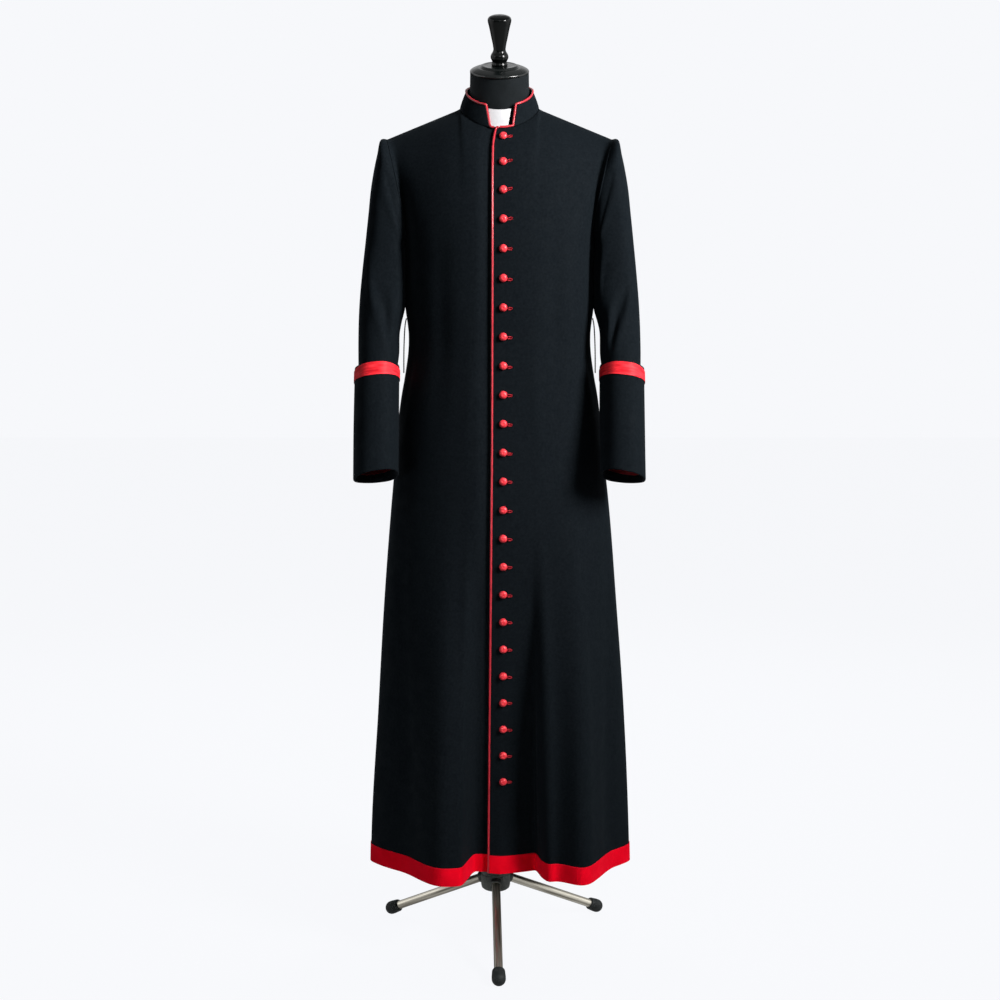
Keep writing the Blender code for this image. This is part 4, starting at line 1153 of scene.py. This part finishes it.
def make_collar(cloth, white):
    rows = []
    inner_rows = []
    for share in np.linspace(0.0, 1.0, 19):
        right = (1 - share) * NOTCH_RIGHT[0] + share * NOTCH_RIGHT[1]
        left = (1 - share) * NOTCH_LEFT[0] + share * NOTCH_LEFT[1]
        angles = np.linspace(*collar_angles(right, left, share), 181)
        # A soft groove at the seam with the neckline, and a barely rounded band
        swell = 0.0006 * math.sin(math.pi * share) - 0.0006 * (1 - fade(share / 0.08))
        rows.append(collar_point(angles, share, -swell))
        inner_rows.append(collar_point(angles, share, CLOTH))
    collar = add_piece("cloth_collar", *wall(np.array(rows), np.array(inner_rows)), cloth,
                       "black_wool", ("collar",), 0.0006)
    declare_sheet(np.array(rows))
    rows = []
    inner_rows = []
    for share in np.linspace(*TAB_SHARES, 11):
        half = collar_half(share)
        grown = share ** 1.2
        ends = [(1 - grown) * low + grown * high for low, high in zip(TAB_LOW_ENDS, TAB_HIGH_ENDS)]
        angles = np.linspace(math.asin(ends[0] / half), math.asin(ends[1] / half), 41)
        rows.append(collar_point(angles, share, TAB_INSET))
        inner_rows.append(collar_point(angles, share, TAB_INSET + TAB_THICKNESS))
    tab = add_piece("linen_collar_tab", *wall(np.array(rows), np.array(inner_rows)), white,
                    "white_linen", ("collar_tab",), 0.0003)
    declare_sheet(np.array(rows))


def notch_edge(ends, share, step):
    x = (1 - share) * ends[0] + share * ends[1]
    return collar_point(math.asin(x / collar_half(share)), share, CLOTH / 2) + np.array([step, 0.0, 0.0])


def round_corner(corner, radius, degrees):
    turns = [math.radians(turn) for turn in degrees]
    return [corner + radius * np.array([math.cos(turn), 0.0, math.sin(turn)]) for turn in turns]


def collar_piping_path():
    """Up the right end of the collar, round its top edge, down the left end and along the notch."""
    out = PIPING_RADIUS
    rise = np.array([0.0, 0.0, out])
    up = np.linspace(0.12, 1.0, 7)
    path = []
    for x in np.linspace(PIPING_TAIL_X, NOTCH_RIGHT[0] + 0.0042, 4):
        path.append(collar_point(math.asin(x / NECKLINE_HALF), 0.0, CLOTH / 2) + 0.6 * rise)
    path += [notch_edge(NOTCH_RIGHT, share, out) for share in up]
    path += round_corner(notch_edge(NOTCH_RIGHT, 1.0, 0.0), out, (30, 60, 90))
    start, end = collar_angles(NOTCH_RIGHT[1], NOTCH_LEFT[1], 1.0)
    for angle in np.linspace(end, start, 61)[1:-1]:
        path.append(collar_point(angle, 1.0, CLOTH / 2) + rise)
    path += round_corner(notch_edge(NOTCH_LEFT, 1.0, 0.0), out, (90, 120, 150))
    path += [notch_edge(NOTCH_LEFT, share, -out) for share in up[::-1]]
    for x in np.linspace(NOTCH_LEFT[0] - out, 0.0, 7):
        path.append(collar_point(math.asin(x / NECKLINE_HALF), 0.0, CLOTH / 2) + rise)
    return path


def front_piping_path():
    """From the notch, round the top corner of the overlapping front and down its edge to the hem."""
    out = PIPING_RADIUS
    points, places = garment_row(2.0, -1)
    start = at_places(points, places, [place_of_x(points, places, PIPING_START_X)])[0]
    seam = np.array([0.0, CLOTH / 2, 0.0])
    path = [start + seam + np.array([0.0, 0.0, out])]
    corner = at_places(points, places, [place_of_x(points, places, edge_x(EDGE_Z[-1]))])[0] + seam
    path += round_corner(corner, out, (90, 120, 150, 180))
    for level in np.concatenate([np.linspace(1.95, 1.1, 12), np.linspace(1.0, 0.0, 60)]):
        points, places = garment_row(level, -1)
        z = at_places(points, places, [0.0])[0, 2]
        place = place_of_x(points, places, edge_x(z) - out)
        path.append(at_places(points, places, [place])[0] + np.array([0.0, PIPING_INSET, 0.0]))
    return path


def loop_path(hand):
    stations = ((1.186, 0.1722), (1.178, 0.1740), (1.160, 0.1758), (1.140, 0.1768))
    stations += ((1.112, 0.1775), (1.099, 0.1776), (1.091, 0.1776), (1.085, 0.1778))
    return [(hand * x, 0.0, z) for z, x in stations]


def make_trims(piping, cord_finish):
    collar_path = curve_through(collar_piping_path(), 420)
    add_piece("satin_collar_piping", *tube(collar_path, PIPING_RADIUS), piping, "red_piping",
              ("collar_piping",))
    front_path = curve_through(front_piping_path(), 760)
    add_piece("satin_front_piping", *tube(front_path, PIPING_RADIUS), piping, "red_piping",
              ("front_piping",))
    for suffix, hand in (("left", 1.0), ("right", -1.0)):
        path = curve_through(loop_path(hand), 70)
        twist = LOOP_RADIUS * (1 + 0.10 * np.sin(np.arange(70) * 1.9))
        piece = add_piece("thread_sash_loop_" + suffix, *tube(path, twist, 10), cord_finish, "black_wool",
                          ("sash_loop_" + suffix,))


# ---------------------------------------------------------------- buttons and buttonholes
def button_rings():
    """A covered mould: flat back, rolled rim with the silk gathered under it, dome with a soft dimple."""
    profile = (
        (0.02, 0.00), (0.45, 0.00), (0.80, 0.00), (0.94, 0.08), (1.00, 0.24), (0.98, 0.40), (0.90, 0.60),
        (0.76, 0.79), (0.58, 0.92), (0.40, 0.985), (0.26, 0.99), (0.14, 0.95), (0.02, 0.93),
    )
    sides = 40
    angles = angles_round(sides)
    rings = []
    for radius, height in curve_through(profile, 34):
        gather = 0.022 * np.cos(10 * angles) * max(0.0, 1 - height / 0.35)
        size = BUTTON_RADIUS * max(radius, 0.01) * (1 + gather)
        ring = [size * np.cos(angles), size * np.sin(angles), np.full(sides, height * BUTTON_HEIGHT)]
        rings.append(np.stack(ring, 1))
    return rings


def button_stations():
    """Each button's centre and the way that it faces."""
    levels = np.concatenate([np.linspace(2.0, 1.0, 61), np.linspace(1.0, 0.0, 61)[1:]])
    column = front_column(BUTTON_X, levels)
    beside = front_column(BUTTON_X + BUTTON_RADIUS, levels)
    length = run_along(column)
    stations = []
    for number in range(BUTTON_COUNT):
        at = BUTTON_TOP + number * BUTTON_PITCH
        centre, below = at_places(column, length, [at, at + BUTTON_RADIUS])
        across = at_places(beside, length, [at])[0] - centre
        facing = np.cross(below - centre, across)
        stations.append((centre, facing / np.linalg.norm(facing), across / np.linalg.norm(across)))
    return stations


def buttonhole(centre, facing, across, drop):
    """The stitched end of a buttonhole beside its button: a tight oval of purl stitches round a slit."""
    up = np.cross(facing, across)
    up *= math.copysign(1.0, up[2])
    middle = centre + HOLE_REACH * across - drop * up + HOLE_RAISE * facing
    turns = np.linspace(0.0, 2 * math.pi, 97)[:-1]
    reach = squared_off(np.cos(turns), 0.6) * HOLE_HALF_LENGTH
    rise = np.sin(turns) * HOLE_HALF_HEIGHT
    path = middle + np.outer(reach, across) + np.outer(rise, up)
    sides = 8
    around = angles_round(sides)
    grid = []
    for index, point in enumerate(path):
        step = path[(index + 1) % 96] - path[index - 1]
        step /= np.linalg.norm(step)
        out = np.cross(step, facing)
        size = HOLE_THREAD * (1 + 0.22 * math.cos(index * math.pi))
        grid.append(point + size * (np.outer(np.cos(around), out) + 0.8 * np.outer(np.sin(around), facing)))
    grid = np.array(grid)
    row, column = np.meshgrid(np.arange(96), np.arange(sides), indexing="ij")
    a = (row * sides + column).ravel()
    b = (row * sides + (column + 1) % sides).ravel()
    c = ((row + 1) % 96 * sides + (column + 1) % sides).ravel()
    d = ((row + 1) % 96 * sides + column).ravel()
    return grid.reshape(-1, 3), np.stack([a, b, c, d], 1), grid_uv(grid).reshape(-1, 2)


def make_buttons(silk, hole_thread):
    """The buttons, and the stitched ends of all their holes as one piece."""
    rings = button_rings()
    holes = []
    for number, (centre, facing, across) in enumerate(button_stations(), 1):
        points, faces, uv = rings_piece(rings)
        points = placed(points, facing, centre + 2 * GAP * facing)
        add_piece(f"silk_button_{number:02d}", points, faces, uv, silk, "red_silk",
                  (f"button_{number:02d}",))
        holes.append(buttonhole(centre, facing, across, 0.0020 + 0.0007 * math.sin(2.3 * number)))
    return add_piece("buttonhole_stitches", *joined(holes), hole_thread, "red_silk")


# ---------------------------------------------------------------- dress form and stand
def make_form(knit, black, gloss):
    rings = []
    sides = 128
    angles = angles_round(sides)
    table = np.array(FORM_RINGS, float)
    heights = np.linspace(0.0, 1.0, 150)
    keys = run_along(table[:, :2])
    rows = np.column_stack([hermite(keys, table[:, c], heights * keys[-1]) for c in range(7)])
    for z, half, front, back, rounding, y, tilt in rows:
        power = 2 / rounding
        x = half * squared_off(np.sin(angles), power)
        depth = np.where(np.cos(angles) > 0, -front, back) * np.abs(np.cos(angles)) ** power
        lean = math.radians(tilt)
        rings.append(np.column_stack([x, y + depth * math.cos(lean), z + depth * math.sin(lean)]))
    add_piece("knit_form", *rings_piece(rings), knit, "black_jersey", ("form_torso",))

    lean = (0.0, -math.sin(NECK_TILT), math.cos(NECK_TILT))
    base = np.array(NECK_TOP) + GAP * np.array(lean)
    points, faces, uv = rings_piece(turned(CAP_PROFILE, 128, 90))
    add_piece("painted_neck_cap", placed(points, lean, base), faces, uv, black, "satin_black", ("neck_cap",))
    base = base + (0.0130 + GAP) * np.array(lean)
    points, faces, uv = rings_piece(turned(FINIAL_PROFILE, 96, 130))
    add_piece("turned_finial", placed(points, lean, base), faces, uv, gloss, "black_lacquer", ("finial",))


def leg_line(number):
    heading = TRIPOD_TURN - math.pi / 2 + 2 * math.pi * number / LEG_COUNT
    out = np.array([math.cos(heading), math.sin(heading), 0.0])
    base = np.array([STAND_X, 0.0, 0.0])
    start = base + LEG_HUB_REACH * out + np.array([0.0, 0.0, LEG_HUB_Z])
    tip = base + FOOT_REACH * out + np.array([0.0, 0.0, FOOT_RADIUS - FOOT_SINK])
    return start, tip, (tip - start) / np.linalg.norm(tip - start)


def make_stand(metal, cast, boot_rubber):
    base = np.array([STAND_X, 0.0, 0.0])
    points, faces, uv = rings_piece(turned(HUB_PROFILE, 96))
    parts = [(points + base, faces, uv)]
    for number in range(LEG_COUNT):
        start, _, along = leg_line(number)
        # A cast socket round each leg's root
        socket = ((0.0010, -0.0120), (0.0112, -0.0120), (0.0114, 0.0030), (0.0110, 0.0044),
                  (0.0096, 0.0048), (0.0094, 0.0042), (0.0010, 0.0040))
        points, faces, uv = rings_piece(turned(socket, 48))
        parts.append((placed(points, along, start), faces, uv))
    add_piece("cast_hub", *joined(parts), cast, "grey_casting", ("stand_hub",), 0.0, 40)

    pole = ((0.0010, HUB_TOP_Z + GAP), (POLE_RADIUS, HUB_TOP_Z + GAP), (POLE_RADIUS, FORM_BOTTOM_Z - GAP),
            (0.0010, FORM_BOTTOM_Z - GAP))
    points, faces, uv = rings_piece(turned(pole, 64))
    add_piece("nickel_pole", points + base, faces, uv, metal, "satin_nickel", ("stand_pole",), 0.0, 40)
    boot_profile = (
        (0.0010, 0.0000), (0.0086, 0.0000), (0.0098, 0.0006), (0.0112, 0.0016), (0.0118, 0.0030),
        (0.0120, 0.0048), (0.0114, 0.0054), (0.0114, 0.0062), (0.0121, 0.0068), (0.0123, 0.0088),
        (0.0117, 0.0094), (0.0117, 0.0102), (0.0124, 0.0108), (0.0128, 0.0150), (FOOT_RADIUS, 0.0202),
    )
    centre = FOOT_LENGTH - FOOT_RADIUS
    ball = []
    for angle in np.linspace(0.08, 1.55, 18):
        ball.append((FOOT_RADIUS * math.cos(angle), centre + FOOT_RADIUS * math.sin(angle)))
    for number in range(LEG_COUNT):
        start, tip, along = leg_line(number)
        length = np.linalg.norm(tip - start) - centre
        leg = ((0.0010, 0.0), (LEG_RADIUS, 0.0), (LEG_RADIUS, length + 0.002), (0.0010, length + 0.002))
        points, faces, uv = rings_piece(turned(leg, 48))
        add_piece(f"nickel_leg_{number + 1}", placed(points, along, start), faces, uv, metal,
                  "satin_nickel", (f"stand_leg_{number + 1}",), 0.0, 40)
        points, faces, uv = rings_piece(turned(boot_profile + tuple(ball), 64))
        points = placed(points, along, tip - centre * along)
        points[:, 2] = np.maximum(points[:, 2], 0.0)
        add_piece(f"rubber_boot_{number + 1}", points, faces, uv, boot_rubber, "black_rubber",
                  (f"stand_foot_{number + 1}",), 0.0, 40)


# ---------------------------------------------------------------- stage
# What each kind of ray finds in the air: colour and strength
SKY = (
    ("", (0.80, 0.90, 1.00), 0.035),
    ("Is Glossy Ray", (0.98, 0.99, 1.00), 1.0),
    ("Is Camera Ray", (0.930, 0.939, 0.965), 1.0),
)

# Height of the direction, from straight down to straight up, and how bright it is there
GLOW = (
    (-1.00, 0.75),
    (-0.55, 0.60),
    (-0.15, 0.14),
    (0.12, 0.04),
    (0.30, 0.75),
    (0.52, 0.95),
    (0.72, 0.25),
    (1.00, 0.45),
)

SIDE_GLOW = 1.2

Lamp = namedtuple("Lamp", "name x y z aim_z width height watts spread red green blue")
LAMPS = (
    Lamp("key", 2.15, -1.62, 2.35, 1.50, 0.9, 1.0, 54, 88, 1.00, 0.99, 0.98),
    Lamp("front", 0.30, -2.90, 2.40, 1.45, 1.2, 0.9, 1.8, 70, 0.97, 0.99, 1.00),
    Lamp("left", -2.10, -1.12, 2.10, 1.40, 0.4, 0.7, 0.7, 90, 0.94, 0.98, 1.00),
    Lamp("low", -1.30, -2.30, 0.90, 0.16, 0.9, 0.5, 1.7, 50, 1.00, 1.00, 1.00),
    Lamp("rim_right", 1.30, 2.30, 2.20, 1.10, 0.9, 1.4, 60, 180, 1.00, 1.00, 1.00),
    Lamp("rim_left", -1.30, 2.30, 2.20, 1.10, 0.9, 1.4, 42, 180, 0.96, 0.98, 1.00),
)

FLOOR_HALF = 12.0
CAMERA_LENS = 58.8
CAMERA_SENSOR = 36.0
CAMERA_PLACE = (0.0009, AXIS_Y - 3.04, 1.21)
CAMERA_DIP = 6.8


def make_stage():
    """A pale floor that takes only a trace of shadow, and pale air all round."""
    mesh = bpy.data.meshes.new("floor")
    corners = [(x * FLOOR_HALF, y * FLOOR_HALF, 0) for x, y in ((-1, -1), (1, -1), (1, 1), (-1, 1))]
    mesh.from_pydata(corners, [], [(0, 1, 2, 3)])
    floor = bpy.data.objects.new("floor", mesh)
    bpy.context.scene.collection.objects.link(floor)
    made = bpy.data.materials.new("floor")
    made.use_nodes = True
    shader = made.node_tree.nodes["Principled BSDF"]
    shader.inputs["Base Color"].default_value = (0.02, 0.02, 0.02, 1.0)
    shader.inputs["Roughness"].default_value = 0.95
    shader.inputs["Specular IOR Level"].default_value = 0.0
    shader.inputs["Emission Color"].default_value = (0.918, 0.927, 0.953, 1.0)
    shader.inputs["Emission Strength"].default_value = 1.0
    mesh.materials.append(made)
    floor.visible_diffuse = False
    floor.visible_glossy = False

    world = bpy.data.worlds.new("studio")
    bpy.context.scene.world = world
    world.use_nodes = True
    nodes = world.node_tree.nodes
    links = world.node_tree.links
    nodes.clear()
    path = nodes.new("ShaderNodeLightPath")
    output = nodes.new("ShaderNodeOutputWorld")
    shader = None
    for ray, colour, strength in SKY:
        light = nodes.new("ShaderNodeBackground")
        light.inputs["Color"].default_value = (*colour, 1.0)
        light.inputs["Strength"].default_value = strength
        if shader is None:
            shader = light.outputs["Background"]
            continue
        if ray == "Is Glossy Ray":
            links.new(sky_glow(nodes, links), light.inputs["Strength"])
        mix = nodes.new("ShaderNodeMixShader")
        links.new(path.outputs[ray], mix.inputs["Fac"])
        links.new(shader, mix.inputs[1])
        links.new(light.outputs["Background"], mix.inputs[2])
        shader = mix.outputs["Shader"]
    links.new(shader, output.inputs["Surface"])


def sky_glow(nodes, links):
    """How bright a reflection finds the studio, by its height: a broad soft box above a dim horizon."""
    source = nodes.new("ShaderNodeTexCoord")
    split = nodes.new("ShaderNodeSeparateXYZ")
    rescaled = nodes.new("ShaderNodeMapRange")
    ramp = nodes.new("ShaderNodeValToRGB")
    rescaled.inputs["From Min"].default_value = -1.0
    links.new(source.outputs["Generated"], split.inputs["Vector"])
    links.new(split.outputs["Z"], rescaled.inputs["Value"])
    links.new(rescaled.outputs["Result"], ramp.inputs["Fac"])
    stops = ramp.color_ramp.elements
    for height, glow in GLOW[1:-1]:
        stops.new((height + 1) / 2).color = (glow, glow, glow, 1.0)
    stops[0].color = (*[GLOW[0][1]] * 3, 1.0)
    stops[-1].color = (*[GLOW[-1][1]] * 3, 1.0)
    aside = nodes.new("ShaderNodeMath")
    aside.operation = "ABSOLUTE"
    panels = nodes.new("ShaderNodeMapRange")
    panels.inputs["From Min"].default_value = 0.78
    panels.inputs["From Max"].default_value = 0.97
    panels.inputs["To Max"].default_value = SIDE_GLOW
    both = nodes.new("ShaderNodeMath")
    links.new(split.outputs["X"], aside.inputs[0])
    links.new(aside.outputs["Value"], panels.inputs["Value"])
    links.new(ramp.outputs["Color"], both.inputs[0])
    links.new(panels.outputs["Result"], both.inputs[1])
    return both.outputs["Value"]


def make_lights():
    for lamp in LAMPS:
        data = bpy.data.lights.new(lamp.name, "AREA")
        data.shape = "RECTANGLE"
        data.size = lamp.width
        data.size_y = lamp.height
        data.energy = lamp.watts
        data.spread = math.radians(lamp.spread)
        data.color = (lamp.red, lamp.green, lamp.blue)
        made = bpy.data.objects.new(lamp.name, data)
        made.location = (lamp.x, lamp.y, lamp.z)
        aim = Vector((0.0, 0.0, lamp.aim_z)) - Vector(made.location)
        made.rotation_euler = aim.to_track_quat("-Z", "Y").to_euler()
        # The rim lamps only light cloth: no glint of them shows on a glossy edge
        made.visible_glossy = not lamp.name.startswith("rim")
        bpy.context.scene.collection.objects.link(made)


def make_camera():
    data = bpy.data.cameras.new("camera")
    data.lens = CAMERA_LENS
    data.sensor_width = CAMERA_SENSOR
    made = bpy.data.objects.new("camera", data)
    made.location = CAMERA_PLACE
    made.rotation_euler = (math.radians(90 - CAMERA_DIP), 0.0, 0.0)
    bpy.context.scene.collection.objects.link(made)
    bpy.context.scene.camera = made
    bpy.context.scene.view_settings.view_transform = "Standard"


# ---------------------------------------------------------------- the whole object
make_camera()
make_stage()
make_lights()

WOOL = black_wool()
PIPING = piping_satin()
MOIRE = moire()
RIBBON = ribbon()
SILK = covered_silk("covered_silk", (0.56, 0.018, 0.032), (0.78, 0.050, 0.062))
LINING = covered_silk("lining_silk", (0.16, 0.004, 0.009), (0.24, 0.009, 0.015))
STITCH_RED = thread("red_thread", (0.34, 0.008, 0.018), (0.50, 0.016, 0.028))
HOLE_RED = thread("buttonhole_thread", (0.30, 0.012, 0.022), (0.46, 0.024, 0.036))

holes = make_buttons(SILK, HOLE_RED)
make_panel("front_left", WOOL, RIBBON)
make_panel("front_right", WOOL, RIBBON)
make_panel("back", WOOL, RIBBON)
make_arm("left", 1.0, LEFT_ARM_CREASES, WOOL, MOIRE, LINING)
make_arm("right", -1.0, RIGHT_ARM_CREASES, WOOL, MOIRE, LINING)
make_collar(WOOL, linen())
make_trims(PIPING, thread("black_cord", (0.008, 0.009, 0.010), (0.016, 0.018, 0.020)))
make_form(jersey(), satin_paint(), lacquer())
make_stand(nickel(), casting(), rubber())
